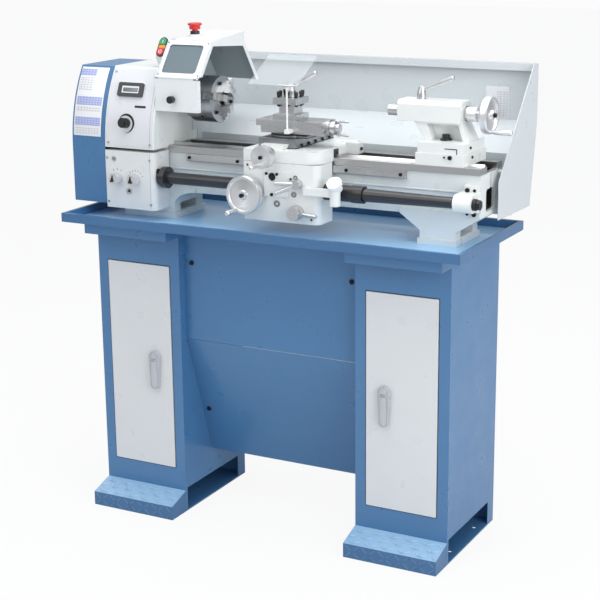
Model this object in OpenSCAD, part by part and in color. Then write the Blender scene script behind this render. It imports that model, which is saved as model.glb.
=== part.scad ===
// Bench lathe on a two-cabinet steel stand.
// Origin on the floor, at the centre of the four anchor holes.
// +X runs along the bed to the tailstock, +Y to the back, +Z up. Millimetres.

/* [Stand] */
// Length of the chip tray
tray_l = 1200; // [1160:10:1400]
// Depth of the chip tray from front to back
tray_d = 450; // [440:5:520]
// Height of the tray's rim above the floor
tray_rim_z = 870; // [840:5:950]
// Depth inside the tray
tray_depth = 22; // [15:1:24]
// Height of the tray's folded edge
tray_edge = 25; // [25:1:40]
// Width of the tray's folded rim
tray_rim_w = 10; // [6:1:20]
// How far the tray stands in front of the cabinets
tray_over = 89; // [70:1:110]
// Sheet thickness of the cabinets and panels
sheet = 2; // [1.5:0.5:3]
// Width of one cabinet
cabinet_w = 270; // [260:5:300]
// Depth of one cabinet
cabinet_d = 338; // [320:2:380]
// Clear width between the cabinets
cabinet_gap = 544; // [500:4:560]
// How far the cabinet head stands out in front
head_out = 62; // [40:1:66]
// Height of the cabinet head
head_h = 33; // [25:1:50]
// Height of the forklift gap under a cabinet
fork_h = 66; // [50:1:90]
// Distance of the anchor holes from a cabinet's outer side
anchor_in = 25; // [20:1:40]
// Distance between anchor holes front to back
anchor_y = 178; // [140:2:220]
// Radius of an anchor hole
anchor_r = 7; // [5:0.5:9]
// Height of the tread step at its front edge
step_front_h = 40; // [30:1:50]
// Height of the tread step at the cabinet
step_back_h = 63; // [55:1:80]

/* [Doors] */
// Width of a door
door_w = 204; // [180:2:220]
// Height of a door
door_h = 596; // [500:4:640]
// Height of a door's lower edge
door_z = 130; // [110:5:150]
// Gap all round a door
door_gap = 1.5; // [1:0.5:3]
// Thickness of a door pan
door_t = 6; // [4:1:10]
// Radius of a hinge pin
hinge_pin_r = 2.5; // [2:0.25:3.5]
// Radius of a hinge barrel
hinge_r = 4.5; // [4.25:0.25:5]
// Length of a latch paddle
latch_h = 107; // [80:1:130]
// Width of a latch paddle
latch_w = 36; // [28:1:44]
// Distance from a door's inner edge to its latch
latch_in = 54; // [40:1:80]

/* [Bed and spindle] */
// Height of the bed ways above the floor
way_z = 1054; // [1040:2:1090]
// Height of the spindle axis above the ways
centre_h = 126; // [122:1:130]
// Width of the bed over both ways
bed_w = 150; // [146:2:160]
// Place of the spindle axis front to back
axis_y = -18; // [-22:1:-14]
// Right end of the bed
bed_right = 584; // [570:2:594]
// Left end of the bed and the headstock
bed_left = -505; // [-515:1:-500]
// Width of one way
way_w = 45; // [40:1:48]
// Height of one way
way_h = 18; // [14:1:22]
// Height of the V ridge on the front way
ridge_h = 7; // [5:0.5:9]
// Right face of the headstock
head_right = -343; // [-350:1:-340]
// Height of the headstock above the spindle's axis
head_rise = 89; // [84:1:100]
// Radius of the headstock's curved front
head_arc = 400; // [360:10:440]
// Radius of the spindle bore
spindle_bore_r = 13; // [10:0.5:15]
// Radius of the spindle
spindle_r = 22; // [20:0.5:24]
// Radius of the chuck
chuck_r = 64; // [58:1:66]
// Length of the chuck body
chuck_l = 75; // [70:1:80]
// Gap between the headstock and the chuck
nose_l = 58; // [50:1:64]

/* [Carriage] */
// Left side of the apron
apron_left = -52; // [-54:1:-50]
// Length of the apron
apron_l = 224; // [220:1:228]
// Front face of the apron
apron_front = -178; // [-180:1:-174]
// Height of the apron
apron_h = 158; // [154:1:166]
// Thickness of the saddle over the ways
saddle_t = 24; // [20:1:26]
// Place of the leadscrew front to back
screw_y = -138; // [-140:1:-136]
// Drop of the leadscrew's axis below the ways
screw_drop = 82; // [78:1:86]
// Radius of the leadscrew
screw_r = 10; // [8:0.5:11]
// Radius of the apron handwheel
apron_wheel_r = 52; // [44:1:56]
// Radius of the cross-slide handwheel
cross_wheel_r = 30; // [26:1:33]
// Width of the cross slide
cross_w = 112; // [100:2:120]
// Side of the toolpost plates
post_w = 70; // [60:1:74]

/* [Tailstock] */
// Left side of the tailstock base
tail_left = 405; // [402:1:415]
// Length of the tailstock base
tail_l = 135; // [125:1:137]
// Radius of the quill
quill_r = 15; // [12:0.5:17]
// How far the quill stands out of the body
quill_out = 38; // [20:1:45]
// Radius of the tailstock handwheel
tail_wheel_r = 48; // [40:1:52]

/* [Fits] */
// Radial clearance of a running pin
run = 0.05; // [0.02:0.01:0.1]
// Gap between sliding faces
slide = 0.1; // [0.05:0.05:0.3]
// Gap between covers that pass each other
pass = 0.5; // [0.3:0.1:1]

/* [Hidden] */
$fn = 64;
over = 1;

// Stand levels
tray_front = -cabinet_d / 2 - tray_over;
tray_back = tray_front + tray_d;
tray_floor = tray_rim_z - tray_depth;
tray_under = tray_rim_z - tray_edge;
cab_front = -cabinet_d / 2;
cab_back = cabinet_d / 2;
cab_in = cabinet_gap / 2;
cab_out = cab_in + cabinet_w;
anchor_x = cab_out - anchor_in;
base_t = 4;
shelf_z = base_t + fork_h;
fork_front = cab_front + 8;
fork_back = cab_back - 42;
step_front = cab_front - 76;
panel_y = cab_front + 29;
panel_seam_z = 515;
panel_low_z = 146;
panel_low_y = panel_y + 120;

// Door hinges and latches
door_x0 = cab_in + (cabinet_w - door_w) / 2;
door_x1 = door_x0 + door_w;
door_front = cab_front - 2;
pivot_r = 1.8;
pivot_x = door_x1 - 8;
pivot_y = door_front + 4;
pivot_in = 14;
leaf_t = 3;
leaf_l = 24;
hinge_h = 40;
knuckle = 13;
knuckle_gap = 0.3;
mid_low = knuckle + knuckle_gap;
mid_high = hinge_h - mid_low;
latch_x = door_x0 + latch_in;
latch_z = door_z + door_h / 2 + 29;
latch_t = 10;
latch_shaft_r = 6;

// Bed and headstock levels
spindle_z = way_z + centre_h;
head_top = spindle_z + head_rise;
screw_z = way_z - screw_drop;
bed_front = axis_y - bed_w / 2;
bed_back = axis_y + bed_w / 2;
bed_low = way_z - 129;
wall_in = 6;
wall_t = 18;
ridge_y = bed_front + way_w - ridge_h - 6;
rear_way_w = 30;
ledge_z = way_z - 65;
ledge_h = 3;
head_low = way_z - 4;
head_front = -166;
head_back = bed_back + 5;
arc_y = head_front + head_arc;
bed_flange = 15;
left_foot_right = -330;
right_foot_left = 420;
right_foot_right = 520;
rack_left = -282;
rack_right = 381;

// Splash guard
guard_back = 265;
guard_top = way_z + 230;
guard_bend = way_z + 73;
guard_low = way_z - 149;
guard_right = bed_right + 20;

// Headstock, gearbox and end cover
bearing_r = 40;
bearing_w = 20;
panel_t = 2;
speed_x = -434;
speed_z = head_low + 69;
knob_shaft_r = 4;
box_low = way_z - 174;
box_top = head_low - 8;
box_front = head_front - 2;
selector_xs = [-466, -406];
selector_z = way_z - 89;
cover_left = bed_left - 112;
cover_back = 155;
cover_top_back = 82;
cover_top = head_top - 2;
cover_low = way_z - 164;
cover_knee = way_z + 66;
cover_t = 2.5;
cover_pin_x = bed_left + 2;
cover_pin_y = cover_back + hinge_r;
cover_hinge_zs = [way_z - 149, way_z + 8];

// Drive behind the end cover
gear_module = 1.5;
spindle_teeth = 40;
idler_teeth = 140;
screw_teeth = 26;
gear_x1 = bed_left - 9;
gear_x0 = gear_x1 - 16;
stud_r = 8;
spindle_reach = gear_module * (spindle_teeth + idler_teeth) / 2;
screw_reach = gear_module * (screw_teeth + idler_teeth) / 2;
shafts = [axis_y - screw_y, spindle_z - screw_z];
shafts_d = norm(shafts);
idler_up = (pow(screw_reach, 2) - pow(spindle_reach, 2) + pow(shafts_d, 2)) / (2 * shafts_d);
idler_off = sqrt(screw_reach * screw_reach - idler_up * idler_up);
idler_y = screw_y + (idler_up * shafts[0] + idler_off * shafts[1]) / shafts_d;
idler_z = screw_z + (idler_up * shafts[1] - idler_off * shafts[0]) / shafts_d;
idler_dir = atan2(idler_z - spindle_z, idler_y - axis_y);
screw_dir = atan2(screw_z - idler_z, screw_y - idler_y);
idler_phase = idler_dir + 180 + 180 / idler_teeth;
mesh_lead = (idler_phase - screw_dir) * idler_teeth / 360;
screw_phase = screw_dir + 180 - (mesh_lead - 0.5) * 360 / screw_teeth;
spindle_left = bed_left - 55;
belt_x0 = bed_left - 47;
belt_x1 = belt_x0 + 12;
belt_t = 6;
pulley_r = 45;
motor_pulley_r = 24;
motor_shaft_r = 9;
motor_y = 112;
motor_z = way_z - 69;
motor_r = 48;
motor_left = bed_left + 10;
motor_right = head_right - 7;

// Chuck
chuck_x0 = head_right + nose_l;
chuck_x1 = chuck_x0 + chuck_l;
jaw_turn = 75;
jaw_w = 18;
jaw_seat = 24;
jaw_in = 16;
jaw_out = 58;
jaw_proud = 26;

// Chuck guard and switches
hood_right = chuck_x1 + 5;
hood_front = [-143.5, head_top - 17];
hood_top_front = [-75, head_top + 74];
hood_top_back = [100, head_top + 61];
hood_back = [180, head_top - 54];
hood_rise = hood_top_front - hood_front;
hood_slope = atan2(hood_rise[1], hood_rise[0]);
hood_slope_l = norm(hood_rise);
flap_y = hood_front[0] - 6.5;
flap_z = hood_front[1] - 2;
flap_low = flap_z - 92;
stop_x = -300;
stop_y = -6;
stop_rise = 24;
stop_seat_z = hood_top_back[1] + stop_rise;
stop_collar_r = 13;
stop_stem_r = 8;
switch_x = head_right - 18;
switch_foot = [-94, head_top + 28];
switch_top = [-62, head_top + 78];
switch_slope = atan2(switch_top[1] - switch_foot[1], switch_top[0] - switch_foot[0]);
button_places = [16, 43];
button_r = 9;

// Leadscrew covers
tube_r = 16.5;
tube_end = 24;
cone_left = 198;
cone_r = 18.5;
bracket_x0 = bed_right - 48;
sleeve_right = 284;

// Carriage
apron_right = apron_left + apron_l;
apron_back = bed_front - 8;
apron_top = way_z - 8;
apron_z = apron_top - apron_h;
saddle_top = way_z + saddle_t;
apron_bore_x = apron_left + 165;
wing_right = apron_right + 36;
wheel_x = -38;
wheel_z = way_z - 96;
wheel_shaft_r = 8;
lever_shaft_r = 6;
nut_lever_x = 112;
nut_lever_z = way_z - 60;
feed_x = 108;
feed_z = way_z - 136;
plate_x0 = 12;
plate_z0 = way_z - 98;
dial_x = 222;
dial_y = apron_front - 6;
dial_z = way_z - 54;
dial_r = 20;
dial_tilt = 40;
dial_shaft_r = 5;
cross_x = 30;
cross_screw_z = saddle_top - 12;
cross_screw_r = 6.5;
cross_tail_w = 60;
cross_tail_h = 12;
cross_y0 = -142;
cross_y1 = 78;
cross_top = saddle_top + 25;
swivel_r = 50;
swivel_top = cross_top + 10;
top_tail_w = 44;
top_tail_h = 11;
post_x = 38;
post_y = -78;
top_left = -45;
top_right = 150;
top_z = swivel_top + 35;
crank_z = swivel_top + 18;
crank_shaft_r = 5.5;
stud_pin_r = 10;
stud_top = top_z + 76;
post_plate = 15;
post_slot = 26;
post_cap = 17;
post_top = top_z + slide + post_plate + post_slot + post_cap;
lever_l = 88;
shield_x = 58;
shield_y = -136;
shield_post_r = 2.6;
shield_z = way_z + 188;
shield_left = -62;
shield_right = 84;
shield_pin_r = 3;

// Tailstock
tail_right = tail_left + tail_l;
body_left = tail_left - 68;
body_right = tail_left + 108;
body_low = spindle_z - 22;
body_top = spindle_z + 32;
tail_shaft_r = 9;
tail_neck = 30;
tail_grip_l = 60;
tail_collar_l = 32;
tail_wheel_x = body_right + tail_collar_l + tail_neck;
quill_lever_in = 52;
quill_lever_x = body_left + quill_lever_in;

// A box between two opposite corners
module span(a, b) {
    translate(a) cube([b[0] - a[0], b[1] - a[1], b[2] - a[2]]);
}

// A profile drawn in Y and Z, carried along X
module along_x(x0, x1) {
    translate([x0, 0, 0]) rotate([90, 0, 90]) linear_extrude(x1 - x0) children();
}

// A profile drawn in X and Z, carried along Y
module along_y(y0, y1) {
    translate([0, y1, 0]) rotate([90, 0, 0]) linear_extrude(y1 - y0) children();
}

// Round bars along each axis, centred on the given line
module rod_x(x0, x1, r, y = 0, z = 0) {
    translate([x0, y, z]) rotate([0, 90, 0]) cylinder(h = x1 - x0, r = r);
}

module rod_y(y0, y1, r, x = 0, z = 0) {
    translate([x, y1, z]) rotate([90, 0, 0]) cylinder(h = y1 - y0, r = r);
}

module rod_z(z0, z1, r, x = 0, y = 0) {
    translate([x, y, z0]) cylinder(h = z1 - z0, r = r);
}

// A flat rectangle with round corners, from its lower left corner
module round_rect(w, h, r) {
    translate([r, 0]) square([w - 2 * r, h]);
    translate([0, r]) square([w, h - 2 * r]);
    for (x = [r, w - r], y = [r, h - r]) {
        translate([x, y]) circle(r);
    }
}

// Stand

// Blocks behind the door opening that hold its two pivots
module pivot_blocks() {
    low = door_z - door_gap;
    high = door_z + door_h + door_gap;
    for (z = [low - pivot_in, high]) {
        span([pivot_x - 8, cab_front + sheet / 2, z], [cab_out - sheet / 2, cab_front + 10, z + pivot_in]);
    }
}

module cabinet() {
    difference() {
        union() {
            span([cab_in, cab_front, 0], [cab_out, cab_back, tray_under]);
            span([cab_in, cab_front - head_out, tray_under - head_h],
                 [cab_out, cab_front + over, tray_under]);
        }
        // Room behind the door, with the hollow head over it
        span([cab_in + sheet, cab_front + sheet, shelf_z + sheet],
             [cab_out - sheet, cab_back - sheet, tray_under - sheet]);
        span([cab_in + sheet, cab_front - head_out + sheet, tray_under - head_h + sheet],
             [cab_out - sheet, cab_front + sheet + over, tray_under - sheet]);
        // Forklift gap, open through both sides
        span([cab_in + sheet, cab_front + sheet, base_t], [cab_out - sheet, cab_back - sheet, shelf_z]);
        span([cab_in - over, fork_front, base_t], [cab_out + over, fork_back, shelf_z]);
        // Door opening
        span([door_x0 - door_gap, cab_front - over / 2, door_z - door_gap],
             [door_x1 + door_gap, cab_front + sheet + over, door_z + door_h + door_gap]);
        for (y = [-1, 1]) {
            rod_z(-over, base_t + over, anchor_r, anchor_x, y * anchor_y / 2);
        }
        pivots(0);
    }
    difference() {
        pivot_blocks();
        pivots(0);
    }
}

// Upper and lower door pivots, grown by a clearance
module pivots(grow) {
    rod_z(door_z - pivot_in, door_z + pivot_in, pivot_r + grow, pivot_x, pivot_y);
    rod_z(door_z + door_h - pivot_in, door_z + door_h + pivot_in, pivot_r + grow, pivot_x, pivot_y);
}

module left_cabinet() {
    color("steelblue") mirror([1, 0, 0]) cabinet();
}

module right_cabinet() {
    color("steelblue") cabinet();
}

module foot_steps() {
    color("dimgray") for (side = [0, 1]) mirror([side, 0, 0]) difference() {
        along_x(cab_in, cab_out) polygon([
            [step_front, 0], [step_front, step_front_h],
            [cab_front, step_back_h], [cab_front, 0]]);
        along_x(cab_in + sheet, cab_out - sheet) polygon([
            [step_front + sheet, -over], [step_front + sheet, step_front_h - sheet],
            [cab_front - sheet, step_back_h - 2 * sheet], [cab_front - sheet, -over]]);
    }
}

module front_panel() {
    color("steelblue") {
        span([-cab_in, panel_y, panel_seam_z + 1], [cab_in, panel_y + sheet, tray_under]);
        along_x(-cab_in, cab_in) polygon([
            [panel_y, panel_seam_z], [panel_low_y, panel_low_z],
            [panel_low_y + sheet, panel_low_z], [panel_y + sheet, panel_seam_z]]);
    }
}

module chip_tray() {
    color("steelblue") difference() {
        span([-tray_l / 2, tray_front, tray_under], [tray_l / 2, tray_back, tray_rim_z]);
        span([-tray_l / 2 + tray_rim_w, tray_front + tray_rim_w, tray_floor],
             [tray_l / 2 - tray_rim_w, tray_back - tray_rim_w, tray_rim_z + over]);
    }
}

// Doors

module door() {
    difference() {
        union() {
            span([door_x0, door_front, door_z], [door_x1, door_front + door_t, door_z + door_h]);
            for (z = [door_z, door_z + door_h - pivot_in - 6]) {
                span([pivot_x - 6, door_front + over, z], [door_x1, pivot_y + 5, z + pivot_in + 6]);
            }
        }
        // Hollow back, with solid corners at the pivots
        span([door_x0 + sheet, door_front + sheet, door_z + sheet],
             [pivot_x - 6, door_front + door_t + over, door_z + door_h - sheet]);
        span([pivot_x - 7, door_front + sheet, door_z + pivot_in + 6],
             [door_x1 - sheet, door_front + door_t + over, door_z + door_h - pivot_in - 6]);
        pivots(run);
        rod_y(door_front - over, door_front + sheet + over, latch_shaft_r + run, latch_x, latch_z);
    }
}

module left_door() {
    color("lightgray") mirror([1, 0, 0]) door();
}

module right_door() {
    color("lightgray") door();
}

// Paddle with a round top that narrows downwards, on a shaft with an inner cam
module latch() {
    cam_l = 42;
    cam_w = 14;
    cam_t = 3;
    top_r = latch_w / 2;
    drop = latch_h - 2 * top_r;
    toe = 0.72;
    back = door_front - 0.4;
    along_y(back - latch_t, back) translate([latch_x, latch_z]) {
        circle(top_r);
        polygon([[-top_r, 0], [top_r, 0], [toe * top_r, -drop - top_r], [-toe * top_r, -drop - top_r]]);
    }
    rod_y(back - latch_t / 2, door_front + door_t + 2 * cam_t, latch_shaft_r, latch_x, latch_z);
    span([latch_x - cam_l, door_front + door_t + cam_t, latch_z - cam_w / 2],
         [latch_x + cam_w / 2, door_front + door_t + 2 * cam_t, latch_z + cam_w / 2]);
}

module left_latch() {
    color("black") mirror([1, 0, 0]) latch();
}

module right_latch() {
    color("black") latch();
}

module door_hinge_pins() {
    color("silver") for (side = [0, 1]) mirror([side, 0, 0]) pivots(0);
}

// Bed and splash guard

// Foot that flares from its base to the bed with two hollow curves
module foot(top_left, base_left, base_right, top_right, steps) {
    knee_z = tray_floor + 36;
    rise = bed_low - knee_z;
    base_h = 16;
    right_flare = [for (i = [0:steps]) let (a = 90 * i / steps)
        [top_right - (top_right - base_right) * cos(a), knee_z + rise * sin(a)]];
    left_flare = [for (i = [steps:-1:0]) let (a = 90 * i / steps)
        [top_left + (base_left - top_left) * cos(a), knee_z + rise * sin(a)]];
    along_y(bed_front, bed_back) polygon(concat(
        [[base_left, tray_floor], [base_right, tray_floor]], right_flare,
        [[top_right, bed_low + bed_flange], [top_left, bed_low + bed_flange]], left_flare));
    span([base_left - 5, bed_front - 4, tray_floor], [base_right + 5, bed_back + 4, tray_floor + base_h]);
}

module bed_rail_profile(top_w) {
    translate([bed_front, way_z - way_h]) square([top_w, way_h]);
    translate([bed_front + wall_in, bed_low]) square([wall_t, way_z - way_h - bed_low + over]);
    translate([bed_front + wall_in, bed_low]) square([way_w - wall_in, bed_flange]);
}

module bed() {
    web_t = 14;
    web_xs = [-420, -250, -60, 130, 320, 470];
    end_hole = [axis_y - 32, bed_low + 12, 64, 58];
    color("gainsboro") difference() {
        union() {
            along_x(bed_left, bed_right) {
                bed_rail_profile(way_w);
                translate([2 * axis_y, 0]) mirror([1, 0]) bed_rail_profile(rear_way_w);
            }
            along_x(head_right, bracket_x0 - 1) translate([bed_front + 3, ledge_z]) square([wall_in, ledge_h]);
            along_x(head_right, bed_right) polygon([
                [ridge_y - ridge_h, way_z], [ridge_y, way_z + ridge_h], [ridge_y + ridge_h, way_z]]);
            foot(bed_left, bed_left + 15, left_foot_right, left_foot_right + 70, 8);
            foot(right_foot_left - 57, right_foot_left, right_foot_right, bed_right, 1);
            for (x = web_xs) {
                span([x, bed_front + wall_in + over, bed_low],
                     [x + web_t, bed_back - wall_in - over, way_z - way_h - 12]);
            }
            span([bed_right - web_t, bed_front + wall_in, bed_low],
                 [bed_right, bed_back - wall_in, way_z - way_h + over]);
        }
        along_x(bed_right - 2 * web_t, bed_right + over) {
            translate([end_hole[0], end_hole[1]]) round_rect(end_hole[2], end_hole[3], 8);
            translate([axis_y - 6, way_z - 70]) square([12, 70]);
            translate([axis_y - 13, way_z - 72]) square([26, 12]);
        }
        // Windows in the sides of the feet
        for (x = [[left_foot_right - 60, left_foot_right + 6], [right_foot_right - 70, right_foot_right + 6]]) {
            along_x(x[0], x[1]) translate([axis_y - 42, tray_floor + 18]) round_rect(84, 22, 5);
        }
    }
}

module feed_rack() {
    pitch = 4.712;
    tooth = 3.4;
    rack_t = 11;
    teeth = floor((rack_right - rack_left) / pitch);
    top = way_z - way_h - 0.5;
    low = top - 21;
    color("darkgray") along_y(bed_front + wall_in - rack_t, bed_front + wall_in) polygon(concat(
        [[rack_left, top], [rack_left, low]],
        [for (i = [0:teeth - 1], p = [[0.1, 0], [0.35, tooth], [0.65, tooth], [0.9, 0]])
            [rack_left + (i + p[0]) * pitch, low + p[1]]],
        [[rack_right, low], [rack_right, top]]));
}

// Sheet with a folded top edge and a chute below, between two end plates
module splash_guard() {
    t = sheet;
    hem = 20;
    chute_y = bed_back + 28;
    left_top = way_z + 146;
    spacer_zs = [bed_low + 25, way_z - way_h - 10];
    color("white") {
        along_x(head_right, guard_right) polygon([
            [guard_back - hem, guard_top], [guard_back, guard_top], [guard_back, guard_bend],
            [chute_y, way_z + 12], [chute_y, guard_low], [chute_y - t, guard_low],
            [chute_y - t, way_z + 14], [guard_back - t, guard_bend + 2],
            [guard_back - t, guard_top - t], [guard_back - hem + t, guard_top - t],
            [guard_back - hem + t, guard_top - hem], [guard_back - hem, guard_top - hem]]);
        along_x(guard_right - t, guard_right) polygon([
            [axis_y + 5, bed_low - 15], [axis_y + 5, way_z - 46], [guard_back - hem - 15, guard_top],
            [guard_back, guard_top], [guard_back, guard_bend], [guard_back - 40, bed_low - 20]]);
        for (z = spacer_zs) {
            rod_x(bed_right, guard_right - t, 8, bed_back - wall_t, z);
        }
        along_x(head_right, head_right + t) polygon([
            [bed_back + 1, guard_low], [bed_back + 1, way_z + 26], [head_back - 30, way_z + 26],
            [head_back - 30, way_z + 70], [130, left_top],
            [guard_back, left_top], [guard_back, guard_bend], [chute_y, way_z + 12], [chute_y, guard_low]]);
    }
}

// Headstock

// The front curve that the headstock and the end cover share
module head_profile(front, back, low, top, arc_r) {
    intersection() {
        translate([front, low]) square([back - front, top - low]);
        translate([arc_y, head_low]) circle(arc_r, $fn = 180);
    }
}

// Places a child on the headstock's curved front, with -Y pointing outwards
module on_head(x, z, lift = 0) {
    tilt = asin((z - head_low) / head_arc);
    translate([x, arc_y, head_low]) rotate([-tilt, 0, 0])
        translate([0, -head_arc - panel_t - lift, 0]) children();
}

module headstock() {
    color("whitesmoke") difference() {
        along_x(bed_left, head_right)
            head_profile(head_front - over, head_back, head_low, head_top, head_arc);
        span([bed_left - over, bed_front - slide, head_low - over],
             [head_right + over, bed_back + slide, way_z]);
        rod_x(bed_left - over, head_right + over, bearing_r, axis_y, spindle_z);
        on_head(speed_x, speed_z) rod_y(-over, 26, knob_shaft_r + pass);
    }
}

module control_panel() {
    inset = 6;
    color("ghostwhite") difference() {
        intersection() {
            rod_x(bed_left + inset, head_right - inset, head_arc + panel_t, arc_y, head_low, $fn = 180);
            span([bed_left, head_front - 2 * panel_t, head_low + inset],
                 [head_right, axis_y, head_top - inset]);
        }
        rod_x(bed_left, head_right, head_arc + run, arc_y, head_low, $fn = 180);
        on_head(speed_x, speed_z) rod_y(-over, panel_t + over, knob_shaft_r + run);
    }
    display();
}

// Bezel of the speed display, with its window sunk in
module display() {
    w = 82;
    h = 40;
    t = 7;
    display_down = 62;
    color("darkslategray") on_head(speed_x + 4, head_top - display_down) difference() {
        along_y(-t, panel_t / 2) translate([-w / 2, -h / 2]) round_rect(w, h, 5);
        along_y(-t - over, -t + 2.5) translate([-w / 2 + 13, -h / 2 + 10]) square([w - 26, h - 20]);
    }
}

module speed_knob() {
    r = 14;
    color("black") on_head(speed_x, speed_z) {
        rod_y(-22, -0.5, r);
        rod_y(-26, -21, r - 3);
        rod_y(-1, 22, knob_shaft_r);
    }
}

module gearbox() {
    round_r = 18;
    color("whitesmoke") difference() {
        translate([0, 0, box_low]) linear_extrude(box_top - box_low) {
            translate([bed_left, box_front])
                square([head_right - bed_left - round_r, bed_front - box_front]);
            translate([bed_left, box_front + round_r])
                square([head_right - bed_left, bed_front - box_front - round_r]);
            translate([head_right - round_r, box_front + round_r]) circle(round_r);
        }
        rod_x(bed_left - over, head_right + over, screw_r + 1, screw_y, screw_z);
        for (x = selector_xs) {
            rod_y(box_front - over, box_front + 16, knob_shaft_r + run, x, selector_z);
        }
    }
}

module selector_knob(x) {
    r = 16;
    l = 22;
    color("silver") difference() {
        union() {
            rod_y(box_front - l, box_front - 0.5, r, x, selector_z);
            rod_y(box_front - over, box_front + 14, knob_shaft_r, x, selector_z);
        }
        translate([x, box_front - l, selector_z]) rotate([0, 20, 0])
            span([-1.5, -over, 2], [1.5, 2, r + over]);
    }
}

module left_selector() {
    selector_knob(selector_xs[0]);
}

module right_selector() {
    selector_knob(selector_xs[1]);
}

// End cover and the drive behind it

// Side outline of the end cover, pulled in by a wall thickness
module cover_profile(wall) {
    back = cover_back - wall;
    top_back = cover_top_back - wall;
    difference() {
        union() {
            head_profile(head_front - over, back, head_low, cover_top - wall, head_arc - wall);
            translate([head_front + wall, cover_low + wall])
                square([back - head_front - wall, head_low - cover_low - wall]);
        }
        polygon([[top_back, cover_top + over], [top_back, cover_top], [back, cover_knee],
            [back + over, cover_knee], [back + over, cover_top + over]]);
    }
}

module gear_cover() {
    color("steelblue") difference() {
        union() {
            along_x(cover_left, bed_left - 0.3) cover_profile(0);
            for (z = cover_hinge_zs) {
                span([cover_pin_x - leaf_l, cover_back - over, z + mid_low],
                     [cover_pin_x, cover_back + leaf_t, z + mid_high]);
                rod_z(z + mid_low, z + mid_high, hinge_r, cover_pin_x, cover_pin_y);
            }
        }
        along_x(cover_left + cover_t, bed_left + over) cover_profile(cover_t);
        for (z = cover_hinge_zs) {
            rod_z(z, z + hinge_h, hinge_pin_r + run, cover_pin_x, cover_pin_y);
        }
    }
}

// Two arms at the back that carry the end cover's hinge barrels and pins
module cover_hinge() {
    arm_t = 4;
    seats = [bed_back, head_back];
    color("silver") for (i = [0, 1]) let (z = cover_hinge_zs[i]) {
        difference() {
            union() {
                span([cover_pin_x, seats[i], z], [cover_pin_x + arm_t, cover_pin_y, z + hinge_h]);
                rod_z(z, z + hinge_h, hinge_r, cover_pin_x, cover_pin_y);
            }
            span([cover_pin_x - hinge_r - over, cover_pin_y - hinge_r - over, z + knuckle],
                 [cover_pin_x + hinge_r + over, cover_pin_y + hinge_r + over, z + hinge_h - knuckle]);
        }
        rod_z(z + over, z + hinge_h - over, hinge_pin_r, cover_pin_x, cover_pin_y);
    }
}

// Flat spur gear with straight-sided teeth, tooth centre at angle 0
module gear_profile(teeth) {
    root_r = gear_module * (teeth / 2 - 1.25);
    tip_r = gear_module * (teeth / 2 + 0.85);
    step = 360 / teeth;
    polygon([for (i = [0:teeth - 1], p = [[-0.3, root_r], [-0.11, tip_r], [0.11, tip_r], [0.3, root_r]])
        p[1] * [cos((i + p[0]) * step), sin((i + p[0]) * step)]]);
}

module gear(teeth, phase, bore, y, z) {
    along_x(gear_x0, gear_x1) translate([y, z]) difference() {
        rotate(phase) gear_profile(teeth);
        circle(bore);
    }
}

// Hollow spindle with its flange, gear and pulley
module spindle() {
    color("silver") difference() {
        union() {
            rod_x(spindle_left, chuck_x0, spindle_r, axis_y, spindle_z);
            rod_x(chuck_x0 - 18, chuck_x0, chuck_r - 10, axis_y, spindle_z);
            rod_x(head_right + over, chuck_x0 - 18, spindle_r + 12, axis_y, spindle_z);
        }
        rod_x(spindle_left - over, chuck_x0 + over, spindle_bore_r, axis_y, spindle_z);
    }
    color("darkgray") gear(spindle_teeth, idler_dir, spindle_r - over, axis_y, spindle_z);
    pulley(pulley_r, spindle_r - over, axis_y, spindle_z);
}

module spindle_bearings() {
    color("lightgray") for (x = [bed_left + 4, head_right - 4 - bearing_w]) difference() {
        rod_x(x, x + bearing_w, bearing_r - 0.02, axis_y, spindle_z);
        rod_x(x - over, x + bearing_w + over, spindle_r + run, axis_y, spindle_z);
    }
}

module idler_gear() {
    color("darkgray") gear(idler_teeth, idler_phase, stud_r + run, idler_y, idler_z);
}

// Slotted arm that holds the idler's stud
module gear_quadrant() {
    arm_w = 26;
    color("gray") {
        along_x(bed_left - 6, bed_left) difference() {
            union() {
                translate([screw_y, screw_z]) circle(20);
                translate([idler_y, idler_z]) circle(arm_w / 2);
                translate([screw_y, screw_z]) rotate(screw_dir + 180) translate([0, -arm_w / 2])
                    square([screw_reach, arm_w]);
            }
            translate([screw_y, screw_z]) circle(screw_r + 1);
            translate([screw_y, screw_z]) rotate(screw_dir + 180) translate([45, -5]) square([45, 10]);
        }
        rod_x(gear_x0 - 4, bed_left - 5, stud_r, idler_y, idler_z);
    }
}

module pulley(r, bore, y, z) {
    color("dimgray") difference() {
        union() {
            rod_x(belt_x0 - 4, belt_x1 + 4, r, y, z);
            for (x = [belt_x0 - 4, belt_x1 + 1]) {
                rod_x(x, x + 3, r + belt_t + 2, y, z);
            }
        }
        rod_x(belt_x0 - 5, belt_x1 + 5, bore, y, z);
    }
}

module motor_pulley() {
    pulley(motor_pulley_r, motor_shaft_r - 0.5, motor_y, motor_z);
    color("silver") rod_x(belt_x0 - 6, motor_left + 30, motor_shaft_r, motor_y, motor_z);
}

// Outline round two circles and their common tangents
module belt_outline(r1, r2) {
    gap = [motor_y - axis_y, motor_z - spindle_z];
    dir = atan2(gap[1], gap[0]);
    spread = acos((r1 - r2) / norm(gap));
    translate([axis_y, spindle_z]) circle(r1);
    translate([motor_y, motor_z]) circle(r2);
    polygon([for (p = [[0, 1], [0, -1], [1, -1], [1, 1]]) let (a = dir + p[1] * spread)
        p[0] == 0 ? [axis_y + r1 * cos(a), spindle_z + r1 * sin(a)]
                  : [motor_y + r2 * cos(a), motor_z + r2 * sin(a)]]);
}

module drive_belt() {
    color("black") along_x(belt_x0, belt_x1) difference() {
        belt_outline(pulley_r + belt_t, motor_pulley_r + belt_t);
        belt_outline(pulley_r + 0.4, motor_pulley_r + 0.4);
    }
}

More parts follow.
